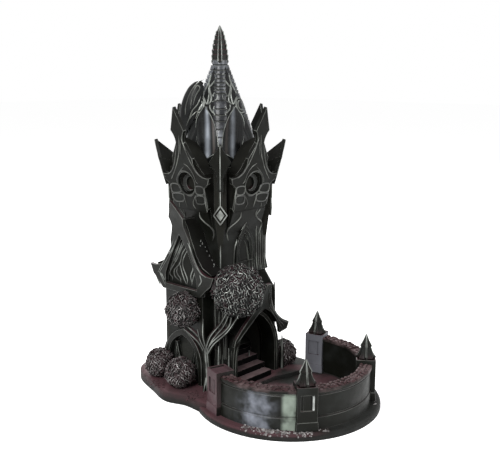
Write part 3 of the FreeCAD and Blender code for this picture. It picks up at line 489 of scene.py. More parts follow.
@dataclass(frozen=True)
class Tread(Silk):
    """Silk print of the stairs: pale wine treads, with risers darkened as painted shade and a painted shade
    on the top tread inside the door.

    Attributes:
        top: height over which the painted shade on the top turns to wine, in metres.
    """

    top: Pair = (0.0272, 0.026)

    def colour(self, nodes: NodeBook) -> Value:
        """Colour of the surface.

        Args:
            nodes: the nodes that it is added to.

        Returns:
            Dark, turning to wine on treads under the height of the painted shade.
        """
        low = nodes.axis(nodes.place(), "Z").between(*self.top)
        up = nodes.facing("Z").between(0.6, 0.9)
        streaks = nodes.noise(60, 4).between(0.25, 0.6) * 0.55 + 0.45
        return nodes.mix(up * low * streaks, self.dark, self.wine)


@dataclass(frozen=True)
class Petal(Silk):
    """Glossy petals with a soft painted highlight band along each.

    Attributes:
        sheen: colour of the painted highlight band.
        warm: colour of a second, fainter painted highlight band.
        sheen_bands: share where each painted highlight band lies at its foot.
        bend: how far that share falls up to the tip.
        foot: height from which it falls, in metres.
        rise: height over which it does, in metres.
    """

    sheen: Colour = (0.3, 0.325, 0.36)
    warm: Colour = (0.06, 0.052, 0.048)
    sheen_bands: Pair = (0.45, 0.72)
    bend: float = 0.3
    foot: float = 0.2
    rise: float = 0.034

    def colour(self, nodes: NodeBook) -> Value:
        """Colour of the surface.

        A painted highlight band lies where the smaller of |x| and |y| is a given share of the larger, a
        share that falls towards the tip with the square of the height, so that it runs into the tip. Only
        the petals beside the front left spine and the one opposite, where x and y have one sign, get these
        painted highlights, weaker where they face along y.

        Args:
            nodes: the nodes that it is added to.

        Returns:
            Dark silk with two painted highlight bands.
        """
        place = nodes.place()
        across = nodes.axis(place, "X").maths("ABSOLUTE")
        along = nodes.axis(place, "Y").maths("ABSOLUTE")
        share = across.maths("MINIMUM", along).maths("DIVIDE", across.maths("MAXIMUM", along))
        fall = ((nodes.axis(place, "Z") - self.foot) * (1 / self.rise)).maths("MAXIMUM", 0.0)
        first, second = ((share - sheen_band + fall * fall * self.bend).maths("ABSOLUTE") for sheen_band in self.sheen_bands)
        halo, second = first.between(0.24, 0.0), second.between(0.09, 0.01)
        sheen_band = halo * halo * (nodes.noise(90, 3).between(0.3, 0.6) * 0.4 + 0.6)
        beside = (nodes.axis(place, "X") * nodes.axis(place, "Y")).between(0.0, 0.00002)
        beside = beside * (nodes.facing("Y").maths("ABSOLUTE").between(0.75, 0.45) * 0.45 + 0.55)
        body = nodes.mix(second * 0.8 * beside, super().colour(nodes), self.warm)
        return nodes.mix(sheen_band * beside, body, self.sheen)


class Finishes:
    """The materials of the tower, each built once."""

    def __init__(self) -> None:
        """Builds all of them."""
        self.stone = Silk("silk_stone").material()
        self.lit = Silk("silk_lit", gloss=0.16).material()
        self.upper = Silk("silk_upper", dark=(0.0056, 0.0059, 0.0046), wine=(0.0065, 0.006, 0.0052),
                          gloss=0.07).material()
        # Painted shade: shade is a darker copy of the stone for pieces that sit in shade, and the shell
        # takes its colours. Painted light: recess and hollow are lighter copies for deep shaded places.
        self.shade = Silk("silk_shade", dark=(0.0055, 0.0056, 0.0046), wine=(0.0065, 0.006, 0.0056),
                          gloss=0.05, roughness=0.6, wear_and_sheen=0.1).material()
        self.recess_fill_light = Silk("silk_recess", dark=(0.013, 0.013, 0.011), wine=(0.008, 0.008, 0.007),
                           pale=(0.03, 0.03, 0.026), gloss=0.02, roughness=0.6).material()
        self.hollow_fill_light = Silk("silk_hollow", dark=(0.014, 0.014, 0.012), wine=(0.014, 0.014, 0.012),
                           pale=(0.02, 0.02, 0.017), gloss=0.05, roughness=0.6).material()
        self.shell = Shell("silk_shell", dark=(0.0055, 0.0056, 0.0046), wine=(0.0065, 0.006, 0.0056),
                           gloss=0.05, roughness=0.6, wear_and_sheen=0.1).material()
        self.panel = Panel("silk_panel", gloss=0.16).material()
        # The step's very dark colour is painted shade on the risers.
        self.step = Tread("silk_step", dark=(0.002, 0.002, 0.002), wine=(0.13, 0.092, 0.094), gloss=0.05,
                          wear_and_sheen=0.15).material()
        self.ground = Earth("silk_ground", dark=(0.0125, 0.0128, 0.0115), wine=(0.078, 0.038, 0.043),
                            roughness=0.55, grain=0.16, wear_and_sheen=0.4, blush=0.7).material()
        self.plinth = Silk("silk_plinth", wine=(0.075, 0.042, 0.048), blush=1.0).material()
        # The cobbles' bright pale mottling is painted highlight on the coping.
        self.cobble = Silk("silk_cobble", wine=(0.04, 0.017, 0.019), wear_and_sheen=0.85, roughness=0.45,
                           pale=(0.12, 0.085, 0.086)).material()
        self.roof = Silk("silk_roof", dark=(0.006, 0.0065, 0.0065), wine=(0.01, 0.009, 0.009),
                         roughness=0.34, grain=0.01, gloss=0.12).material()
        self.petal = Petal("silk_petal", dark=(0.007, 0.0075, 0.0075), wine=(0.01, 0.01, 0.011), gloss=0.09,
                           roughness=0.3, wear_and_sheen=0.25, grain=0.006).material()
        # The plate's bright pale mottling is painted highlight on the spines.
        self.plate = Silk("silk_plate", dark=(0.012, 0.013, 0.015), wine=(0.016, 0.017, 0.02), gloss=0.3,
                          pale=(0.3, 0.32, 0.35), wear_and_sheen=0.6, roughness=0.26, grain=0.006).material()
        self.leaf = Silk("silk_leaf", dark=(0.005, 0.0054, 0.005), wine=(0.03, 0.014, 0.017),
                         roughness=0.42, wear_and_sheen=0.15, grain=0.008, blush=0.7, gloss=0.13).material()
        self.bush = Silk("silk_bush", dark=(0.0065, 0.007, 0.0062), wine=(0.036, 0.02, 0.022),
                         roughness=0.42, wear_and_sheen=0.25, grain=0.008, blush=0.7, gloss=0.19).material()
        self.steel = Silk("silk_steel", dark=(0.15, 0.153, 0.172), roughness=0.4, grain=0.01).material()
        self.wall = ReflectionPatches("silk_wall_painted_reflection", wine=(0.012, 0.01, 0.009), grain=0.012).material()
        # The ridge finishes are painted highlights on edges, crests and ribs, for the silk's reflections.
        self.ridge = HighlightRidge("painted_highlight_ridge", low=(0.06, 0.063, 0.057), high=(0.3, 0.318, 0.295)).material()
        self.soft_ridge = HighlightRidge("soft_ridge", low=(0.03, 0.031, 0.027), high=(0.17, 0.178, 0.16)).material()
        self.dim_ridge = HighlightRidge("dim_ridge", low=(0.014, 0.015, 0.0125),
                               high=(0.075, 0.079, 0.07)).material()
        self.bright_ridge = HighlightRidge("bright_ridge", low=(0.2, 0.21, 0.2), high=(0.6, 0.63, 0.6)).material()
        self.leaf_ridge = HighlightRidge("leaf_ridge", low=(0.03, 0.031, 0.029), high=(0.4, 0.42, 0.395),
                                scale=230).material()
        self.bush_ridge = HighlightRidge("bush_ridge", low=(0.045, 0.036, 0.036), high=(0.3, 0.285, 0.28),
                                scale=230).material()
        self.wine_ridge = HighlightRidge("wine_ridge", low=(0.08, 0.055, 0.056), high=(0.26, 0.2, 0.2)).material()


# ---- surfaces


def curve(points: Line | Array, steps: int = 10, closed: bool = False) -> Array:
    """Smooth line through points of any dimension.

    It is a Catmull-Rom spline: between two points it is the cubic whose slope at each point is half the
    step between that point's neighbours.

    Args:
        points: the points.
        steps: samples between two points.
        closed: whether the line runs back to its first point.

    Returns:
        The samples, one in each row.
    """
    given = np.asarray(points, float)
    if closed:
        before, start, end, after = (np.roll(given, shift, 0) for shift in (1, 0, -1, -2))
    else:
        padded = np.vstack([2 * given[0] - given[1], given, 2 * given[-1] - given[-2]])
        before, start, end, after = padded[:-3], padded[1:-2], padded[2:-1], padded[3:]
    share = np.linspace(0, 1, steps, endpoint=False)[None, :, None]
    before, start, end, after = (part[:, None, :] for part in (before, start, end, after))
    cubic = 0.5 * (2 * start + (end - before) * share
                   + (2 * before - 5 * start + 4 * end - after) * share ** 2
                   + (3 * start - before - 3 * end + after) * share ** 3)
    line = cubic.reshape(-1, given.shape[1])
    return line if closed else np.vstack([line, given[-1:]])


def turned(points: Array, degrees: float) -> Array:
    """Points turned about the Z axis by an angle in degrees, counter-clockwise seen from above."""
    cos, sin = math.cos(math.radians(degrees)), math.sin(math.radians(degrees))
    return points @ np.array([[cos, sin, 0], [-sin, cos, 0], [0, 0, 1]])


def about(angle: Array | float, radius: Array | float,
          height: Array | float = 0.0) -> Array:
    """Points about the Z axis, from their angle in radians, radius and height."""
    return np.stack(np.broadcast_arrays(radius * np.cos(angle), radius * np.sin(angle), height), -1)


def squareness(turn: Array) -> Array:
    """Reach of a square of half width 1 at each angle: 1 over the larger of |cos| and |sin|."""
    return 1 / np.maximum(np.abs(np.cos(turn)), np.abs(np.sin(turn)))


def oval(middle: Pair, wide: float, tall: float, count: int) -> Line:
    """Points (x, z) evenly round an oval, from its half width and half height."""
    turn = np.linspace(0, 2 * math.pi, count, endpoint=False)
    return [(middle[0] + wide * math.cos(angle), middle[1] + tall * math.sin(angle)) for angle in turn]


def unit(vectors: Array) -> Array:
    """Vectors scaled to length 1."""
    return vectors / np.maximum(np.linalg.norm(vectors, axis=-1, keepdims=True), 1e-9)


def flipped(lines: Sequence[Line], hand: int = -1) -> list[Line]:
    """Lines on a face, mirrored left to right where the hand is -1."""
    return [[(hand * point[0], *point[1:]) for point in line] for line in lines]


def both_ways(lines: Sequence[Line]) -> list[Line]:
    """Lines on a face, and their mirror images."""
    return [*lines, *flipped(lines)]


def upright_axes(normals: Array, twist: Array, sizes: Array) -> Array:
    """Axes of small shapes that stand on a surface.

    The third axis is the surface's normal, and the first two lie in the surface, turned by the twist.

    Args:
        normals: outward normals, one in each row.
        twist: turn of each shape about its normal, in radians.
        sizes: length, width and height of each shape, one shape in each row.

    Returns:
        One 3 by 3 matrix for each shape, with its scaled axes as rows.
    """
    level = unit(np.cross(normals, UP + 0.01))
    climb = np.cross(normals, level)
    along = level * np.cos(twist)[:, None] + climb * np.sin(twist)[:, None]
    axes = np.stack([along, np.cross(normals, along), normals], 1)
    return axes * sizes[:, :, None]


def level_axes(normals: Array, twist: Array, sizes: Array) -> Array:
    """Axes of small shapes that lie on nearly level ground, with their length along a compass direction.

    Args:
        normals: upward normals, one in each row.
        twist: that direction of each shape, in radians.
        sizes: length, width and height of each shape, one shape in each row.

    Returns:
        One 3 by 3 matrix for each shape, with its scaled axes as rows.
    """
    along = about(twist, 1.0)
    along = unit(along - normals * np.sum(along * normals, -1, keepdims=True))
    return np.stack([along, np.cross(normals, along), normals], 1) * sizes[:, :, None]


def golden_spread(count: int) -> Array:
    """Even directions over a ball: i of n has the height 1 - (2 i + 1) / n and turns by i golden angles."""
    height = 1 - (2 * np.arange(count) + 1) / count
    return about(np.arange(count) * GOLDEN_ANGLE, np.sqrt(1 - height ** 2), height)


@dataclass(frozen=True)
class Face:
    """A flat face of the tower seen square on: x runs to the right, z up. It may lean outwards.

    Attributes:
        turn: turn about Z from the -Y direction, in degrees.
        distance: distance from the tower's axis at the height of its foot.
        lean: angle by which its top leans outwards, in degrees.
        foot: height where the distance is measured.
    """

    turn: float
    distance: float
    lean: float = 0.0
    foot: float = 0.0

    def depth(self, x: Array, z: Array) -> Array:
        """Distance from the axis: the foot's, plus the tangent of the lean times the rise."""
        return self.distance + math.tan(math.radians(self.lean)) * (z - self.foot) + 0 * x

    def at(self, x: Array, z: Array, proud: float | Array = 0.0) -> Array:
        """Points of the face, moved out along its normal."""
        point = np.stack([x + 0 * z, -self.depth(x, z), z + 0 * x], -1)
        return turned(point, self.turn) + np.asarray(proud)[..., None] * self.normal(x, z)

    def normal(self, x: Array, z: Array) -> Array:
        """Outward normals: the depth's slopes across x and z, worked out from small steps.

        Args:
            x: places to the right.
            z: heights.

        Returns:
            The normals, of length 1.
        """
        step = 0.05
        across = (self.depth(x + step, z) - self.depth(x - step, z)) / (2 * step)
        up = (self.depth(x, z + step) - self.depth(x, z - step)) / (2 * step)
        return turned(unit(np.stack([-across, -np.ones_like(across), -up], -1)), self.turn)


@dataclass(frozen=True)
class DomeFace(Face):
    """One face of the roof's dome: a square with round corners whose half width falls with height.

    Attributes:
        stations: shares of the height between the two.
        spreads: share of the half width at each.
        softness: radius of the corners, as a share of the half width.
    """

    foot_height: float = 188.0
    top_height: float = 270.0
    stations: tuple[float, ...] = (0.0, 0.2, 0.38, 0.53, 0.67, 0.83, 1.0)
    spreads: tuple[float, ...] = (1.0, 0.93, 0.8, 0.67, 0.52, 0.36, 0.18)
    softness: float = 0.45

    def half(self, z: Array) -> Array:
        """Half width of the dome, along a smooth line through the stations.

        Args:
            z: heights.

        Returns:
            The half width at each.
        """
        share = (z - self.foot_height) / (self.top_height - self.foot_height)
        line = curve(list(zip(self.stations, self.spreads)), 12)
        return self.distance * np.interp(share, line[:, 0], line[:, 1])

    def depth(self, x: Array, z: Array) -> Array:
        """Distance from the axis: the half width on the flat, less the sagitta of the corner's arc.

        Args:
            x: places to the right.
            z: heights.

        Returns:
            The distance at each.
        """
        half = self.half(z)
        soft = half * self.softness
        past = np.clip(np.abs(x) - (half - soft), 0, soft * 0.98)
        return half - soft + np.sqrt(soft ** 2 - past ** 2)


@dataclass(frozen=True)
class WallFace(Face):
    """Wall of the upper storey, with its flared skirt and the cove that swells out under a gable.

    The skirt adds its lip at the foot and nothing at its top. The cove adds its reach times the share of
    its rise.
    """

    skirt_foot: float = 97.5
    skirt_top: float = 108.5
    skirt_lip: float = 1.6
    cove_foot: float = 134.0
    cove_top: float = 152.2
    cove_reach: float = 6.5

    def depth(self, x: Array, z: Array) -> Array:
        """Distance from the axis: the wall's, plus the skirt and the cove.

        Args:
            x: places to the right.
            z: heights.

        Returns:
            The distance at each.
        """
        skirt = np.clip((self.skirt_top - z) / (self.skirt_top - self.skirt_foot), 0, 1)
        cove = np.clip((z - self.cove_foot) / (self.cove_top - self.cove_foot), 0, 1)
        return self.distance + self.skirt_lip * skirt + self.cove_reach * cove + 0 * x


@dataclass(frozen=True)
class LobeFace(Face):
    """One flat side of the roof's lobe, an egg that leans in over the rear left corner.

    Its depth is the egg's thickness times the root of 1 less the squares of the shares of its two other
    radii, measured along axes that lean with it.

    Attributes:
        middle: distance of its middle from the axis, and height.
        radii: half its thickness, depth and height.
        slant: its lean, in radians.
    """

    middle: Pair = (21.5, 233.0)
    radii: Point = (7.6, 11.0, 23.0)
    slant: float = math.radians(-13)

    def depth(self, x: Array, z: Array) -> Array:
        """Distance of the surface from the plane through the tower's axis and the corner.

        Args:
            x: places to the right.
            z: heights.

        Returns:
            The distance at each.
        """
        across, up = np.abs(x) - self.middle[0], z - self.middle[1]
        tall = across * math.sin(self.slant) + up * math.cos(self.slant)
        deep = across * math.cos(self.slant) - up * math.sin(self.slant)
        thick, deep_radius, tall_radius = self.radii
        return thick * np.sqrt(np.clip(1 - (deep / deep_radius) ** 2 - (tall / tall_radius) ** 2, 0.01, 1))


@dataclass(frozen=True)
class Seed:
    """A small closed shape that is repeated many times, in its own unit size.

    Attributes:
        points: one point in each row.
        faces: arrays of point numbers, one face in each row.
        tones: finish of each array.
    """

    points: Array
    faces: tuple[Array, ...]
    tones: tuple[Tone, ...]


class Form:
    """Points and faces of one piece while it is put together."""

    def __init__(self) -> None:
        """Starts with nothing."""
        self.points: list[Array] = []
        self.faces: list[Array] = []
        self.tones: list[Array] = []
        self.total = 0

    def add(self, points: Array, faces: Sequence[Array],
            tones: Tone | Sequence[Tone] = Tone.BODY) -> None:
        """Adds points and the faces between them.

        Args:
            points: one point in each row.
            faces: arrays of point numbers, one face in each row, each array with its own face size.
            tones: the finish of all faces, or of each array.
        """
        self.points.append(points.reshape(-1, 3))
        every = [tones] * len(faces) if isinstance(tones, Tone) else tones
        for group, tone in zip(faces, every):
            self.faces.append(group + self.total)
            self.tones.append(np.full(len(group), tone.value, np.int32))
        self.total += self.points[-1].shape[0]

    def grid(self, points: Array, round_rows: bool = False, round_columns: bool = False,
             caps: bool = False, tone: Tone = Tone.BODY) -> None:
        """Adds a surface through a grid of points.

        Args:
            points: rows by columns by 3.
            round_rows: whether the last row joins the first.
            round_columns: whether the last column joins the first.
            caps: whether the first and last rows are closed by a face.
            tone: the finish of the faces.
        """
        self.add(points, grid_faces(*points.shape[:2], round_rows, round_columns, caps), tone)

    def shell(self, points: Array, tone: Tone = Tone.BODY) -> None:
        """Adds a closed surface whose rows of points are rings, with a face at both ends."""
        self.grid(points, round_columns=True, caps=True, tone=tone)

    def scatter(self, seed: Seed, places: Array, axes: Array) -> None:
        """Adds a seed at many places.

        Args:
            seed: the shape.
            places: where each one's origin goes, one in each row.
            axes: each one's scaled axes, as upright_axes gives them.
        """
        count = len(seed.points)
        starts = (np.arange(len(places)) * count)[:, None, None]
        points = places[:, None] + seed.points @ axes
        self.add(points, [(group[None] + starts).reshape(-1, group.shape[1]) for group in seed.faces],
                 seed.tones)

    def tube(self, path: Array, wide: Array | float, high: Array | float,
             out: Array, sides: int = 8, closed: bool = False, tone: Tone = Tone.BODY) -> None:
        """Adds a bar of oval section along a path.

        Each section is the oval side * cos(a) * wide / 2 + over * sin(a) * high, where side is square to
        the path and to the outward direction, and over is square to both.

        Args:
            path: points of its middle line.
            wide: full width across, along the whole path or at each point.
            high: how far it stands out, along the whole path or at each point.
            out: outward direction at each point, or one for all.
            sides: corners of the section.
            closed: whether the path runs back to its start.
            tone: the finish of the faces.
        """
        if closed:
            along = unit(np.roll(path, -1, 0) - np.roll(path, 1, 0))
        else:
            along = unit(np.gradient(path, axis=0))
        side = unit(np.cross(along, np.broadcast_to(out, path.shape)))
        over = np.cross(side, along)
        angle = np.linspace(0, 2 * math.pi, sides, endpoint=False)
        wide = np.broadcast_to(wide, len(path))[:, None, None] / 2
        high = np.broadcast_to(high, len(path))[:, None, None]
        ring = (path[:, None] + side[:, None] * np.cos(angle)[None, :, None] * wide
                + over[:, None] * np.sin(angle)[None, :, None] * high)
        self.grid(ring, round_rows=closed, round_columns=True, caps=not closed, tone=tone)

    def rib(self, face: Face, line: Line, wide: float = 0.9, high: float = 0.5, steps: int = 8,
            closed: bool = False, tone: Tone = Tone.EDGE, taper: float = 0.3, sink: float = 0.1) -> None:
        """Adds a raised moulding on a face, along a smooth line that thins out at its two ends.

        Args:
            face: the face that carries it.
            line: points (x, z) on the face.
            wide: its full width.
            high: how far it stands out.
            steps: samples between two points.
            closed: whether it runs back to its first point.
            tone: the finish of the moulding.
            taper: width at the ends, as a share of the full width.
            sink: how far its middle line lies in the face.
        """
        x, z = curve(line, steps, closed).T
        share = np.linspace(0, 1, len(x))
        full = taper + (1 - taper) * np.clip(np.minimum(share, 1 - share) * 6, 0, 1)
        if closed:
            full = np.ones(len(x))
        self.tube(face.at(x, z, -sink), wide * full, (high + sink) * full, face.normal(x, z),
                  closed=closed, tone=tone)

    def ribs(self, face: Face, lines: Sequence[Line], **options: object) -> None:
        """Adds several mouldings to a face."""
        for line in lines:
            self.rib(face, line, **options)

    def mesh(self, name: str) -> Mesh:
        """Makes the mesh.

        Args:
            name: its name.

        Returns:
            The mesh, in metres, with its faces pointing outwards.
        """
        made = bpy.data.meshes.new(name)
        points = np.concatenate(self.points) * MM
        sizes = np.concatenate([np.full(len(group), group.shape[1]) for group in self.faces])
        corners = np.concatenate([group.ravel() for group in self.faces])
        made.vertices.add(len(points))
        made.vertices.foreach_set("co", points.astype(np.float32).ravel())
        made.loops.add(len(corners))
        made.loops.foreach_set("vertex_index", corners.astype(np.int32))
        made.polygons.add(len(sizes))
        made.polygons.foreach_set("loop_start", (np.cumsum(sizes) - sizes).astype(np.int32))
        made.polygons.foreach_set("loop_total", sizes.astype(np.int32))
        made.polygons.foreach_set("material_index", np.concatenate(self.tones))
        made.update(calc_edges=True)
        outwards(made)
        return made


def grid_faces(rows: int, columns: int, round_rows: bool, round_columns: bool,
               caps: bool) -> list[Array]:
    """Finds the faces of a grid of points.

    Args:
        rows: number of rows.
        columns: number of columns.
        round_rows: whether the last row joins the first.
        round_columns: whether the last column joins the first.
        caps: whether the first and last rows are closed by a face.

    Returns:
        The four-sided faces between neighbours, and the faces that close its ends.
    """
    index = np.arange(rows * columns).reshape(rows, columns)
    down, across = np.roll(index, -1, 0), np.roll(index, -1, 1)
    quads = np.stack([index, across, np.roll(down, -1, 1), down], -1)
    quads = quads[: rows if round_rows else rows - 1, : columns if round_columns else columns - 1]
    faces = [quads.reshape(-1, 4)]
    return faces + [index[:1, ::-1], index[-1:]] if caps else faces


def outwards(mesh: Mesh) -> None:
    """Turns the faces of closed shells to point outwards.

    Args:
        mesh: the mesh that is changed.
    """
    work = bmesh.new()
    work.from_mesh(mesh)
    bmesh.ops.recalc_face_normals(work, faces=work.faces)
    work.to_mesh(mesh)
    work.free()


def shaded(mesh: Mesh, angle: float) -> None:
    """Shades a mesh smoothly, with creases.

    Args:
        mesh: the mesh that is changed.
        angle: angle over which an edge is a crease, in degrees.
    """
    mesh.polygons.foreach_set("use_smooth", np.ones(len(mesh.polygons), bool))
    mesh.set_sharp_from_angle(angle=math.radians(angle))
    mesh.update()


def pebble_seed(rings: int = 4, sides: int = 7) -> Seed:
    """Rounded stone: a ball of unit radius with a flat foot, its rings spaced by equal angles.

    Args:
        rings: number of rings.
        sides: corners of a ring.

    Returns:
        The stone.
    """
    polar = np.linspace(0.5, 2.2, rings)[:, None]
    points = about(np.linspace(0, 2 * math.pi, sides, endpoint=False), np.sin(polar), np.cos(polar))
    faces = grid_faces(rings, sides, False, True, True)
    return Seed(points.reshape(-1, 3), tuple(faces), (Tone.BODY,) * 3)


def leaf_seed() -> Seed:
    """Curled leaf: five sections along its length, each with a raised crest, and a point at both ends.

    Each section has a place along the leaf, a half width, a lift and a sideways bend, and each of its
    points a place across it and a share of the lift. The crest is a narrow strip that takes the edge
    finish, a painted highlight.

    Returns:
        The leaf.
    """
    along = np.array([-1.0, -0.55, 0.0, 0.55, 1.0])
    half = np.array([0.08, 0.75, 1.0, 0.7, 0.06])
    lift = np.array([0.25, 0.7, 1.0, 0.95, 0.55])
    bend = np.array([0.35, 0.05, -0.1, 0.05, 0.4])
    across = np.array([-1.0, -0.34, 0.34, 1.0, 0.0])
    rise = np.array([0.1, 1.0, 1.0, 0.1, -0.6])
    points = np.stack(np.broadcast_arrays(
        along[:, None], half[:, None] * across + bend[:, None], lift[:, None] * rise), -1)
    quads, first, last = grid_faces(5, 5, False, True, True)
    crest_highlight = np.arange(len(quads)) % 5 == 1
    return Seed(points.reshape(-1, 3), (quads[~crest_highlight], quads[crest_highlight], first, last),
                (Tone.BODY, Tone.EDGE, Tone.BODY, Tone.BODY))


@dataclass(frozen=True)
class Dresser:
    """Turns forms and CAD nodes into finished pieces that ride on one body.

    Attributes:
        finishes: the materials.
        body: the moving body that carries the pieces.
        slot: a material slot for pieces that name no other; it is not used.
        crease: angle over which a copied node's edges are creased and bevelled, in degrees.
        merge: distance under which a copied node's points are one, in metres.
    """

    finishes: Finishes
    body: str = "tower"
    slot: str = "stone_black"
    crease: float = 32
    merge: float = 2e-6

    def piece(self, name: str, form: Form, finish: Material,
              edge: Material | None = None, replaces: Sequence[str] = (), crease: float = 40,
              slot: str | None = None) -> None:
        """Makes an object of a form.

        Args:
            name: name of the piece.
            form: its points and faces.
            finish: finish of its body faces.
            edge: finish of its edge faces, a painted highlight.
            replaces: the CAD nodes that it stands for.
            crease: angle over which its edges stay sharp, in degrees.
            slot: its material slot, where it isn't the dresser's own; it is not used.
        """
        mesh = form.mesh(name)
        shaded(mesh, crease)
        self.finish(mesh, finish, edge or finish, replaces, slot)

    def finish(self, mesh: Mesh, finish: Material, edge: Material,
               replaces: Sequence[str], slot: str | None) -> bpy.types.Object:
        """Links a mesh as an object with its finishes, on its body.

        Args:
            mesh: the mesh, whose name becomes the object's.
            finish: finish of its body faces.
            edge: finish of its edge faces, a painted highlight. Its dull edges take the dim painted
                highlight.
            replaces: the CAD nodes that it stands for.
            slot: its material slot, where it isn't the dresser's own; it is not used.

        Returns:
            The object.
        """
        made = bpy.data.objects.new(mesh.name, mesh)
        bpy.context.scene.collection.objects.link(made)
        for material in (finish, edge, self.finishes.dim_ridge):
            mesh.materials.append(material)
        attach(made, self.body)
        slot or self.slot
        if replaces:
            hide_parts(*replaces)
        LOG.info("%s: %d faces on %s", mesh.name, len(mesh.polygons), self.body)
        return made

    def copy(self, node: str, finish: Material, edge: Material, width: float = 0.32,
             slot: str | None = None) -> None:
        """Stands a bevelled copy of a CAD node in for it, with a painted highlight on its bevelled edges.

        Args:
            node: the CAD node.
            finish: finish of its faces.
            edge: finish of its bevels, a painted highlight.
            width: width of the bevels, in millimetres.
            slot: its material slot, where it isn't the dresser's own; it is not used.
        """
        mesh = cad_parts[node].data.copy()
        mesh.name = f"{node}_carved"
        mesh.materials.clear()
        work = bmesh.new()
        work.from_mesh(mesh)
        bmesh.ops.remove_doubles(work, verts=work.verts, dist=self.merge)
        bmesh.ops.recalc_face_normals(work, faces=work.faces)
        for face in work.faces:
            face.material_index = Tone.BODY.value
        work.to_mesh(mesh)
        work.free()
        shaded(mesh, self.crease)
        bevel = self.finish(mesh, finish, edge, [node], slot).modifiers.new("edges", "BEVEL")
        bevel.width = width * MM
        bevel.segments = 2
        bevel.limit_method = "ANGLE"
        bevel.angle_limit = math.radians(self.crease)
        bevel.use_clamp_overlap = True
        bevel.harden_normals = True
        # The bevels take the edge finish, a painted highlight.
        bevel.material = Tone.EDGE.value


@dataclass
class SubAssembly:
    """A part of the tower that is built on its own.

    Attributes:
        dresser: what finishes its pieces.
    """

    dresser: Dresser

    @property
    def finishes(self) -> Finishes:
        """The materials."""
        return self.dresser.finishes


# ---- ground and tray


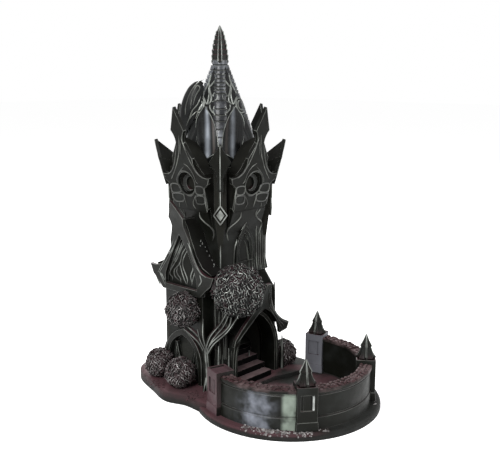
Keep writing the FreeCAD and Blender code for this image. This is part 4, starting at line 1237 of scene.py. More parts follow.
@dataclass
class Tray(SubAssembly):
    """Round tray: walls, cobbled coping, pillars and their spire caps.

    Attributes:
        middle: distance of its centre from the tower's axis, towards -Y.
        pillars: angle of each pillar about the centre, in degrees.
        clear: half the angle that a pillar takes up.
        slab: section of the coping's slab, as radius and height.
        stones: length, width and height of a coping stone.
        vary: lowest and highest share of each that a stone may have.
        cap_stations: half widths of a cap, by the share of its height.
        jamb_offset: how far the painted highlight on a niche's jamb lies from the pillar's middle.
        jamb_span: its foot and top.
    """

    middle: float = TRAY_MIDDLE
    ring: float = 62.2
    pillars: dict[str, float] = field(default_factory=lambda: {
        "left_rear": 163.8, "left_front": 232.2, "right_front": 307.8, "right_rear": 376.2})
    stretches: dict[str, tuple[str, str]] = field(default_factory=lambda: {
        "left": ("left_rear", "left_front"), "front": ("left_front", "right_front"),
        "right": ("right_front", "right_rear")})
    capped: tuple[str, ...] = ("left_front", "right_front", "right_rear")
    clear: float = 6.6
    slab: Line = ((57.1, 33.4), (67.4, 33.4), (67.5, 34.6), (66.9, 35.5), (57.6, 35.5), (57.0, 34.6))
    rows: tuple[float, ...] = (58.9, 62.2, 65.6)
    bed: float = 35.6
    stones: Point = (2.7, 1.75, 1.15)
    vary: Line = ((0.6, 1.05), (0.7, 1.1), (0.75, 1.25))
    cap_span: Pair = (37.8, 58.6)
    cap_stations: Line = (
        (0, 5.1), (0.06, 6.6), (0.09, 6.8), (0.15, 5.9), (0.28, 4.6), (0.42, 3.7), (0.5, 3.2), (0.53, 3.9),
        (0.57, 3.5), (0.72, 2.1), (0.88, 1.0), (1.0, 0.12),
    )
    pillar_half: float = 7.55
    jamb_offset: float = 4.5
    jamb_span: Pair = (21.6, 32.4)
    arris: float = 0.25

    def build(self) -> None:
        """Builds all of it."""
        finishes = self.finishes
        # The tray walls' finish carries patches of painted reflection.
        for side in self.stretches:
            self.dresser.copy(f"tray_wall_{side}", finishes.wall, finishes.dim_ridge, self.arris)
        bodies = {"right_rear": finishes.steel, "left_rear": finishes.plinth}
        for name in self.pillars:
            body = bodies.get(name, finishes.stone)
            self.dresser.copy(f"tray_pillar_{name}", body, finishes.dim_ridge, self.arris)
        for number, (side, (first, last)) in enumerate(self.stretches.items()):
            span = (self.pillars[first] + self.clear, self.pillars[last] - self.clear)
            self.make_coping(side, *span, number)
        for name in self.capped:
            self.make_cap(name)
            self.make_jamb_highlight(name)

    def around(self, angle: Array | float, radius: Array | float,
               height: Array | float = 0.0) -> Array:
        """Points about the tray's centre, from their angle in radians, radius and height."""
        return about(angle, radius, height) - (0, self.middle, 0)

    def make_coping(self, side: str, first: float, last: float, seed: int) -> None:
        """Coping of one stretch: a slab turned about the centre, with rows of rough stones on it.

        Args:
            side: name of the stretch.
            first: angle where it starts, in degrees.
            last: angle where it ends, in degrees.
            seed: the stretch's number, which gives its random draws.
        """
        chance = np.random.default_rng(40 + seed)
        form = Form()
        turn = np.radians(np.linspace(first, last, 60))[:, None]
        form.shell(self.around(turn, *np.array(self.slab).T))
        pitch = 1.5 * self.stones[0]
        count = int(math.radians(last - first) * self.ring / pitch)
        for row, radius in enumerate(self.rows):
            share = (np.arange(count) + 0.5 + chance.uniform(-0.3, 0.3, count)) / count
            angle = np.radians(first + share * (last - first))
            places = self.around(angle, radius + chance.uniform(-0.5, 0.5, count), self.bed)
            normals = unit(about(angle, (row - 1) * 0.35 + chance.uniform(-0.25, 0.25, count), 1.0))
            sizes = np.stack([size * chance.uniform(*shares, count)
                              for size, shares in zip(self.stones, self.vary)], -1)
            twist = angle + math.pi / 2 + chance.uniform(-0.7, 0.7, count)
            form.scatter(pebble_seed(), places, level_axes(normals, twist, sizes))
        self.dresser.piece(f"cobbled_coping_{side}", form, self.finishes.cobble, None,
                           [f"tray_coping_{side}"], crease=50, slot="wine_black")

    def make_jamb_highlight(self, name: str) -> None:
        """Painted highlight: a bright upright strip along one jamb of a pillar's niche, on the pillar's
        outer face, for the light on the niche's side wall.

        Args:
            name: name of the pillar.
        """
        form = Form()
        angle = math.radians(self.pillars[name])
        out = about(angle, 1.0)
        foot = self.around(angle, self.ring + self.pillar_half) + np.cross(UP, out) * self.jamb_offset
        form.tube(foot + UP * np.linspace(*self.jamb_span, 3)[:, None], 1.7, 0.5, out, tone=Tone.EDGE)
        self.dresser.piece(f"niche_jamb_{name}", form, self.finishes.stone, self.finishes.bright_ridge)

    def make_cap(self, name: str) -> None:
        """Spire cap: a concave four-sided pyramid on a small foot, with two ribs up each face that carry a
        painted highlight.

        Its half width follows the stations, and swells towards each face's middle, where the ribs run, by
        a bell curve of the sine of twice the angle from it.

        Args:
            name: name of its pillar.
        """
        form = Form()
        angle = math.radians(self.pillars[name])
        centre = self.around(angle, self.ring)
        share, half = np.array(self.cap_stations).T
        foot, tip = self.cap_span
        turn = np.linspace(0, 2 * math.pi, 48, endpoint=False)
        swell = squareness(turn) * 0.8 + 0.42 * np.exp(-(np.sin(2 * turn) / 0.35) ** 2)
        height = foot + share * (tip - foot)
        form.shell(centre + about(turn + angle, half[:, None] * swell, height[:, None]))
        lift = np.linspace(0.16, 0.97, 14)
        base = np.interp(lift, share, half)[:, None]
        climb = UP * (foot + lift * (tip - foot))[:, None]
        for quarter in range(4):
            out = about(angle + quarter * math.pi / 2, 1.0)
            for hand in (-1, 1):
                apart = np.cross(UP, out) * (hand * np.minimum(0.42, 0.16 * base))
                path = centre + out * (base * 1.17) + apart + climb
                form.tube(path, 0.42, 0.26, out, sides=6, tone=Tone.EDGE)
        self.dresser.piece(f"spire_cap_{name}", form, self.finishes.stone, self.finishes.ridge,
                           [f"pillar_cap_{name}"], crease=35)


@dataclass
class Ground(SubAssembly):
    """Rough ground plate with loose rubble along its edges and at the foot of the walls.

    Attributes:
        patches: middle, spread, height and number of stones of each patch.
        rubble: first and last angle about the tray's centre, in degrees, and number of bits of each heap.
    """

    tray_middle: float = TRAY_MIDDLE
    tray_reach: float = 68.0
    patches: tuple[tuple[float, float, float, float, float, int], ...] = (
        (-60, -30, 9, 14, 9, 46), (-63, 8, 9, 10, 9, 30), (-52, -52, 10, 8, 9, 40),
        (-38, -52, 10, 6, 9, 26), (20, -50, 10, 5, 9, 24), (52, -48, 8, 8, 9, 30), (48, -14, 8, 8, 9, 20),
        (0, 46, 30, 8, 9, 50), (44, 36, 9, 9, 9, 24), (-40, 42, 9, 6, 9, 24),
    )
    rubble: tuple[tuple[float, float, int], ...] = (
        (192, 212, 70), (204, 222, 120), (224, 235, 90), (236, 246, 12), (296, 304, 8),
    )
    rim: Pair = (67.6, 74.6)

    def build(self) -> None:
        """Builds all of it."""
        self.dresser.copy("base_plate", self.finishes.ground, self.finishes.dim_ridge, slot="wine_black")
        self.make_stones()
        self.make_rubble()

    def strew(self, form: Form, chance: np.random.Generator, places: Array, sizes: Array,
              slope: float, free: float = 0.0) -> None:
        """Adds stones that lie roughly level.

        Args:
            form: what they are added to.
            chance: source of the random draws.
            places: middle of each stone.
            sizes: length, width and height of each.
            slope: how much they tilt.
            free: radius about the tray's centre that stays free.
        """
        count = len(places)
        tilt = unit(np.column_stack([chance.normal(0, slope, (count, 2)), np.ones(count)]))
        axes = level_axes(tilt, chance.uniform(0, 6.28, count), sizes)
        clear = np.hypot(places[:, 0], places[:, 1] + self.tray_middle) > free
        form.scatter(pebble_seed(), places[clear], axes[clear])

    def make_stones(self) -> None:
        """Loose stones scattered over patches of the mound, each patch a soft cloud about its middle."""
        chance = np.random.default_rng(7)
        form = Form()
        for x, y, wide, deep, height, count in self.patches:
            spots = chance.normal(0, 0.5, (count, 2)) * (wide, deep) + (x, y)
            sizes = chance.uniform(0.6, 1.5, (count, 1)) * chance.uniform(0.7, 1.2, (count, 3))
            places = np.column_stack([spots, np.full(count, height)])
            self.strew(form, chance, places, sizes * (1, 1, 0.6), 0.3, self.tray_reach)
        self.dresser.piece("loose_stones", form, self.finishes.ground, slot="wine_black")

    def make_rubble(self) -> None:
        """Rubble, pale in a painted highlight finish, heaped on the plate's rim, against the foot of the
        tray's wall.
        """
        chance = np.random.default_rng(11)
        form = Form()
        for first, last, count in self.rubble:
            angle = np.radians(chance.uniform(first, last, count))
            radius = chance.uniform(*self.rim, count)
            height = 5.0 - np.clip(radius - 72.4, 0, 3) * 0.7
            places = about(angle, radius, height) - (0, self.tray_middle, 0)
            sizes = chance.uniform(0.35, 1.0, (count, 1)) * chance.uniform(0.6, 1.3, (count, 3))
            self.strew(form, chance, places, sizes, 0.4)
        self.dresser.piece("wall_rubble", form, self.finishes.bush_ridge)


# ---- lower storey


@dataclass
class LowerStorey(SubAssembly):
    """Door, stairs, hood and shell of the lower storey, with their carved mouldings.

    The lines are points (x, z) on their face, seen square on.

    Attributes:
        spikes: place, foot, top and width at the foot of each spike.
        spike_front: the way that the spikes' sharp ridges face.
    """

    hood: Face = Face(0, 45.35, 12.6, 44)
    porch: Face = Face(0, 42.5)
    wall_half: float = 27.2
    side_half: float = 28.0
    corner_half: float = 46.5
    hood_lines: tuple[Line, ...] = (
        ((34.8, 47.4), (34.2, 50.8), (27.4, 54.6), (19.2, 60.4), (12.8, 67), (6.4, 76.6), (3, 86)),
        ((30.8, 46.6), (28.4, 50.6), (22.4, 55.8), (15.4, 63.4), (5, 75), (1.4, 85), (0.4, 92)),
        ((27.6, 47.6), (22, 53.8), (14, 62.4), (4, 73)),
    )
    jamb_lines: tuple[Line, ...] = (((25.4, 10), (25.4, 30), (22.4, 45), (14, 59.5), (0, 71)),)
    spikes: tuple[tuple[float, float, float, float, float], ...] = (
        (-33, -42, 8.5, 44, 2.2), (-36.6, -38.6, 8.5, 38.5, 2.2), (-31, -41, 8.5, 36, 1.8),
        (-46.4, -44, 8.5, 49.9, 3.2), (33, -42, 8.5, 40, 2.4), (37.5, -36, 8.5, 33, 2),
        (6, -28.2, 23.7, 28.6, 0.8),
    )
    spike_front: Point = (-0.7, -0.7, 0.0)
    arcade: tuple[Line, ...] = (
        ((15, 9), (15, 34), (13.4, 46), (8.6, 60), (0, 74)), ((19, 84), (9, 84), (0, 84)),
        ((19, 91), (9, 91), (0, 91)),
    )
    arcade_tracery: tuple[Line, ...] = (
        ((11.8, 9), (11.8, 33), (10.4, 43), (6.6, 54), (0, 66)), ((1.6, 9), (1.4, 30), (0.2, 46)),
        ((0.2, 40), (3.4, 48), (7.2, 51.6)), ((17.6, 9), (17.6, 60), (17.8, 82)),
        ((0, 76), (7, 70), (13, 60.6), (16.4, 52)),
    )
    jamb_folds: tuple[Line, ...] = (
        ((41, 9), (41.2, 24), (40.4, 40)), ((38.2, 9), (37.4, 22), (38.8, 38)),
        ((35.4, 9), (36, 26), (34.8, 40)), ((32.6, 9), (33.6, 20), (32.4, 38)),
    )
    corner_folds: tuple[Line, ...] = (
        ((4.6, 9), (4.2, 44), (4.8, 86)), ((2, 9), (2.8, 38), (1.6, 62), (2.4, 84)),
        ((-1, 9), (-0.4, 34), (-1.4, 58), (-0.6, 82)), ((-4.4, 9), (-4, 46), (-4.7, 86)),
    )

    def build(self) -> None:
        """Builds all of it."""
        finishes = self.finishes
        for node, body in (("buttresses", finishes.shade), ("door_arch", finishes.stone),
                           ("porch_gable", finishes.stone), ("porch_roof", finishes.shade),
                           ("baffle_middle", finishes.shade), ("baffle_upper", finishes.shade)):
            edge = finishes.soft_ridge if body is finishes.stone else finishes.dim_ridge
            self.dresser.copy(node, body, edge)
        self.dresser.copy("stairs", finishes.step, finishes.wine_ridge, width=0.2, slot="wine_black")
        for node, body in (("lower_shell", finishes.shell), ("exit_ramp", finishes.hollow_fill_light),
                           ("baffle_lower", finishes.hollow_fill_light)):
            self.dresser.copy(node, body, finishes.dim_ridge)
        self.make_mouldings()
        self.make_spikes()

    def make_mouldings(self) -> None:
        """Mouldings of the hood, the door's arch and the blind arches, and the folds beside the door."""
        form = Form()
        form.ribs(self.hood, self.hood_lines, wide=0.8, tone=Tone.DIM)
        form.ribs(self.hood, flipped(self.hood_lines[2:]), wide=0.8, tone=Tone.DIM)
        form.ribs(self.porch, both_ways(self.jamb_lines), wide=0.9)
        for side, hand in ((Side.LEFT, 1), (Side.RIGHT, -1)):
            sheen_bands = flipped(self.jamb_folds, hand)
            form.ribs(Face(side.value, self.side_half), sheen_bands, wide=1.0, tone=Tone.DIM)
        for corner in Corner:
            form.ribs(Face(corner.value, self.corner_half), self.corner_folds, wide=1.0, tone=Tone.DIM)
        for side in (Side.RIGHT, Side.REAR):
            wall = Face(side.value, self.wall_half)
            form.ribs(wall, both_ways(self.arcade), wide=1.7, high=0.8)
            form.ribs(wall, both_ways(self.arcade_tracery), wide=1.1, high=0.6, tone=Tone.DIM)
        self.dresser.piece("porch_mouldings", form, self.finishes.stone, self.finishes.soft_ridge)

    def make_spikes(self) -> None:
        """Slim stone spikes beside the door: four-sided cones with a sharp crest that carries a painted
        highlight.
        """
        form = Form()
        front = np.array(self.spike_front)
        share = np.linspace(0, 1, 9)
        for x, y, foot, top, foot_width in self.spikes:
            path = np.column_stack(np.broadcast_arrays(x, y, foot + share * (top - foot)))
            wide = foot_width * (1 - share) ** 0.8 + 0.15
            form.tube(path, wide * 2, wide, front, sides=4)
            form.tube(path + front * wide[:, None], 0.4 + wide * 0.5, 0.3, front, sides=6, tone=Tone.EDGE)
        self.dresser.piece("door_spikes", form, self.finishes.stone, self.finishes.ridge, crease=20)


# ---- bay


@dataclass
class Bay(SubAssembly):
    """Bay on the left face: its wall, ledge, pierced gable, roof and flowing tracery.

    The lines are points (x, z) on the bay's front, seen square on.

    Attributes:
        burrs: x, height and half length of each burr on the roof.
        roof_profile: height and depth of the roof's front slope.
    """

    plate: Face = Face(-90, 46.2)
    glass: Face = Face(-90, 41.5)
    glass_thick: float = 4.3
    window: Line = ((18.9, 90.1), (18.9, 98), (15.3, 106.6), (11.3, 114.9), (6, 124), (0.1, 133.7))
    gable_lines: tuple[Line, ...] = (
        ((-0.3, 137.9), (-5, 128.1), (-10.1, 119.1), (-17, 109.7), (-26.2, 98.1)),
        ((-3.8, 138.5), (-7.3, 129.4), (-12.5, 119.8), (-19.4, 109.9), (-28.4, 97.4)),
        ((-26.2, 98.1), (-22.6, 93), (-18.4, 87.4)), ((-24, 97.4), (-19.8, 91.9)),
        ((3.6, 137), (9.6, 128), (13.5, 120.6), (17.9, 112.7), (23.1, 106.1), (30, 103)),
        ((-31, 93.4), (-25.6, 86.6)), ((22.8, 104), (24.6, 99), (21, 94)),
    )
    tracery_lines: tuple[Line, ...] = (
        ((1, 127.7), (-4, 120.4), (-9.1, 111.3), (-18.4, 98.4), (-15.4, 94.4), (-15.9, 91)),
        ((1.6, 122.3), (-2.5, 116.7), (-6, 107.9), (-12.7, 101.2), (-12.1, 96), (-6.5, 92.8)),
        ((3.9, 121), (-1.1, 113.1), (-2.1, 106.4), (0.9, 100.2), (3.2, 95.7), (2.3, 91.4)),
        ((-6, 107.9), (-3.1, 100.1), (1.5, 91.6)),
        ((-8.8, 104.4), (-9.6, 99.4), (-5.4, 95), (-4.8, 91.6)),
        ((10.6, 110.7), (9.7, 105.1), (7.2, 99.1), (9.4, 92.4)),
        ((12.8, 104.5), (10.3, 98.6), (7.8, 91.6)), ((-1.5, 128), (-7.4, 117), (-13.4, 107.8)),
    )
    edge_lines: tuple[Line, ...] = (
        ((13.6, 111), (17.6, 104.4), (18.2, 98.8), (16.2, 91.4)),
        ((-2.5, 131.6), (-5.9, 124.4), (-10, 116.6), (-14.6, 107.6), (-18.6, 99.4)),
    )
    burrs: tuple[tuple[float, float, float], ...] = (
        (-33.4, 128.2, 1.3), (-32.6, 126, 1.5), (-35.6, 124.6, 0.6), (-30.4, 119.6, 0.8),
        (-29.8, 116.2, 1.2), (-29.4, 112.6, 1), (-29.6, 109.6, 1.1), (-31.8, 108.4, 0.6),
        (-30.8, 122.8, 0.6),
    )
    roof_profile: Line = ((104.5, 33), (109, 22.5), (118, 15.5), (128, 10.8), (139, 6), (146, 2))
    slope: Point = (0.0, -0.85, 0.5)

    def build(self) -> None:
        """Builds all of it."""
        finishes = self.finishes
        for node, body, edge in (("bay_wall", finishes.panel, finishes.dim_ridge),
                                 ("blind_arch", finishes.lit, finishes.ridge),
                                 ("bay_gable", finishes.lit, finishes.soft_ridge),
                                 ("bay_roof", finishes.shade, finishes.soft_ridge)):
            self.dresser.copy(node, body, edge)
        self.dresser.copy("bay_sill", finishes.cobble, finishes.dim_ridge, slot="wine_black")
        self.make_tracery()
        self.make_burrs()

    def make_tracery(self) -> None:
        """Flowing tracery on the window's panel, and chevrons on the gable."""
        form = Form()
        half = np.array(self.window)
        x, z = np.concatenate([half, half[::-1] * (-1, 1)]).T
        form.shell(np.stack([self.glass.at(x, z), self.glass.at(x, z, -self.glass_thick)]))
        form.ribs(self.glass, self.tracery_lines, wide=0.95)
        form.ribs(self.glass, self.edge_lines, wide=0.95, high=0.8)
        self.dresser.piece("flowing_tracery", form, self.finishes.upper, self.finishes.ridge,
                           ["bay_tracery"])
        chevrons = Form()
        chevrons.ribs(self.plate, self.gable_lines, wide=0.85)
        self.dresser.piece("gable_chevrons", chevrons, self.finishes.stone, self.finishes.ridge)

    def make_burrs(self) -> None:
        """Short burrs on the dark slope of the bay's roof, bright with a painted highlight."""
        form = Form()
        x, z, size = np.array(self.burrs).T
        places = np.column_stack([x, -np.interp(z, *np.array(self.roof_profile).T) - 0.1, z])
        normals = np.broadcast_to(unit(np.array(self.slope)), places.shape)
        sizes = np.column_stack([size, 0 * x + 0.35, 0 * x + 0.35])
        axes = upright_axes(normals, 1.25 + 0.3 * np.sin(7 * x), sizes)
        form.scatter(pebble_seed(3, 5), places, axes)
        self.dresser.piece("roof_burrs", form, self.finishes.ridge)


# ---- upper storey


@dataclass
class UpperStorey(SubAssembly):
    """Walls, gables, corner piers and horns of the upper storey, and everything carved on them.

    The lines are points (x, z), as they run on the left face. The front face has them mirrored.

    Attributes:
        flutes: how far each upright fold lies from a wall's middle.
        horn: distance, lean and foot of the horns' outer edge.
        corner_ribs: distance, top, foot, width, height and taper of the two ribs under a horn.
        diamond: height of its middle, half its width and half its height.
        gem: half width, half height and depth of each step of the gem on it.
    """

    lean: float = 12.6
    gable_distance: float = 33.5
    gable_foot: float = 152.0
    eye: Pair = (0.0, 175.0)
    eye_radius: float = 9.7
    hood_lines: tuple[Line, ...] = (
        ((0.9, 191.2), (6.2, 188.4), (10.1, 183.1), (11.8, 177.2), (13.5, 175.9)),
        ((1.4, 214), (-1.1, 202.2), (-5.3, 193.5), (-10.3, 185.6), (-15.7, 178.9), (-17.8, 176.6)),
        ((3, 212), (6.4, 200.4), (10.2, 191.4), (14.6, 184.6), (20.6, 180.4)),
        ((20.2, 173), (19.6, 166), (18.4, 153.4)),
    )
    faint_lines: tuple[Line, ...] = (
        ((0.1, 188.3), (-6.1, 183.1), (-10.8, 177), (-11, 173.2)), ((2, 208), (-0.6, 198.1)),
        ((-3.4, 206), (-9.6, 191), (-14.8, 184), (-21.4, 180.2)),
        ((10.2, 170.9), (5.6, 165.7), (0.8, 164.4), (-4.6, 166)),
    )
    block_frames: tuple[Line, ...] = (
        ((-18.6, 172.4), (-11.1, 173.1), (-8.5, 170.5), (-8.8, 166.8), (-18.9, 166)),
        ((-18.9, 164.3), (-6.6, 164.9), (-7, 159.5), (-17.2, 158.4)),
        ((10.6, 172.9), (18.8, 173.2), (18.4, 167.4), (10.2, 167.2)),
        ((9.6, 165), (18, 165.4), (17.4, 159.6), (8.8, 159.2)),
    )
    drip_lines: tuple[Line, ...] = (
        ((8.9, 166), (5, 160.3), (4, 157.4), (6, 154)), ((-5.4, 165.9), (-5.2, 161.1), (-4, 154.4)),
        ((-13.1, 157), (-13.6, 153)),
    )
    wall_half: float = 27.3
    ogee_lines: tuple[Line, ...] = (
        ((9.6, 151.6), (9.2, 147.2), (12.8, 143.4), (17.8, 140.4), (20.6, 136.9), (19.6, 131.8),
         (18.2, 128.4)),
    )
    streak_lines: tuple[Line, ...] = (((-13.2, 151.4), (-11.3, 148.6), (-9.3, 145.4)),)
    lancet_lines: tuple[Line, ...] = (
        ((-12.5, 100), (-12.3, 110), (-10.9, 121.8), (-6.9, 129.7), (0.2, 141.4)),
        ((0.2, 141.4), (6.1, 132.7), (11.2, 124.7), (12, 117.4), (12, 100)),
        ((0.9, 130.7), (7.2, 121.6), (9.4, 113.9), (9.6, 101.3)),
        ((0.1, 126), (3.2, 119.4), (5.1, 110.1), (5.6, 101)),
        ((-9.4, 101), (-9, 112), (-8, 120.8), (-4.2, 127.8)),
    )
    flutes: tuple[float, ...] = (15.0, 17.4, 19.9, 22.4, 24.9)
    apron_half: float = 19.2
    horn: Point = (45.75, 13.5, 171.0)
    corner_ribs: Line = ((43.4, 176, 158, 0.8, 0.5, 0.8), (38.3, 144.5, 97.5, 0.9, 0.5, 0.6))
    boss: float = 42.9
    diamond: Point = (151.0, 5.3, 7.6)
    gem: Line = ((3.2, 4.5, -0.4), (3.1, 4.4, 0.45), (1.5, 2.2, 0.9))

    def build(self) -> None:
        """Builds all of it."""
        finishes = self.finishes
        self.dresser.copy("upper_shell", finishes.upper, finishes.dim_ridge)
        horns = [f"corner_horn_{corner.name.lower()}" for corner in Corner]
        gables = [f"gable_{side.name.lower()}" for side in Side]
        for node in ["lancet_frames", *horns, *gables]:
            self.dresser.copy(node, finishes.upper, finishes.soft_ridge)
        for node in ("corner_piers", "corner_diamonds", "gable_housings", "gable_roofs"):
            self.dresser.copy(node, finishes.recess_fill_light, finishes.dim_ridge)
        self.dresser.copy("window_crescents", finishes.lit, finishes.ridge)
        for side in Side:
            self.carve_gable(side)
            self.carve_wall(side)
        for corner in Corner:
            self.carve_corner(corner)

    def carve_gable(self, side: Side) -> None:
        """Carving of one gable: hood mouldings, framed blocks, drips and the ring round the eye.

        Args:
            side: the gable's face.
        """
        form = Form()
        plate = Face(side.value, self.gable_distance, self.lean, self.gable_foot)
        form.ribs(plate, flipped(self.hood_lines, side.hand), wide=0.8, high=0.4)
        form.ribs(plate, flipped(self.faint_lines, side.hand), wide=0.9, tone=Tone.DIM)
        form.ribs(plate, flipped(self.block_frames, side.hand), wide=1.2, closed=True, tone=Tone.DIM)
        form.ribs(plate, flipped(self.drip_lines, side.hand), wide=0.8)
        radius = self.eye_radius + 0.5
        ring = oval(self.eye, radius, radius * math.cos(math.radians(self.lean)), 24)
        form.rib(plate, ring, wide=0.9, closed=True, steps=2, tone=Tone.DIM)
        self.dresser.piece(f"gable_carving_{side.name.lower()}", form, self.finishes.upper,
                           self.finishes.soft_ridge)

    def carve_wall(self, side: Side) -> None:
        """Carving under one gable: the cove, the ogee brackets on it, and the window's mouldings.

        Args:
            side: the wall's face. The left one has the bay in place of a window.
        """
        form = Form()
        wall = WallFace(side.value, self.wall_half)
        x = np.linspace(-self.apron_half, self.apron_half, 13)[:, None]
        z = np.linspace(wall.cove_foot, wall.cove_top, 12)[None]
        ends = z[:, [-1, 0]]
        back = wall.at(x, ends, wall.distance - 0.2 - wall.depth(x, ends))
        form.shell(np.concatenate([wall.at(x, z), back], 1))
        form.ribs(wall, flipped(both_ways(self.ogee_lines), side.hand), wide=1.15, high=0.7, steps=5)
        form.ribs(wall, flipped(self.streak_lines, side.hand), wide=0.9)
        if side is not Side.LEFT:
            form.ribs(wall, flipped(self.lancet_lines, -side.hand), wide=0.9, high=1.0, sink=0.3)
            for number, place in enumerate(self.flutes):
                line = ((place, 98.0), (place, 110.0), (place, 136.0 - 1.6 * number))
                form.ribs(wall, flipped([line], -side.hand), wide=1.1, high=0.6,
                          tone=Tone.DIM if number % 2 else Tone.EDGE)
        self.dresser.piece(f"wall_carving_{side.name.lower()}", form, self.finishes.upper,
                           self.finishes.soft_ridge)

    def carve_corner(self, corner: Corner) -> None:
        """Carving of one corner: a thin rib down the horn and the arris, and the diamond's rim and gem,
        which carry a painted highlight.

        Args:
            corner: the corner.
        """
        form = Form()
        form.rib(Face(corner.value, *self.horn), ((0, 207.4), (0, 190), (0, 171.5)), high=0.6, taper=0.5)
        for distance, top, foot, wide, high, taper in self.corner_ribs:
            form.rib(Face(corner.value, distance), ((0, top), (0, foot)), wide, high, taper=taper)
        boss = Face(corner.value, self.boss)
        middle, half, rise = self.diamond
        for hand in (-1, 1):
            rim = ((0, middle + rise), (hand * half, middle), (0, middle - rise))
            form.rib(boss, rim, wide=1.1, steps=1, taper=1.0)
        across, climb = np.array([(0, 1), (1, 0), (0, -1), (-1, 0)]).T
        steps = [boss.at(across * wide, middle + climb * tall, proud) for wide, tall, proud in self.gem]
        form.shell(np.stack(steps), tone=Tone.EDGE)
        self.dresser.piece(f"carving_{corner.name.lower()}", form, self.finishes.stone, self.finishes.ridge,
                           crease=20)


# ---- roof


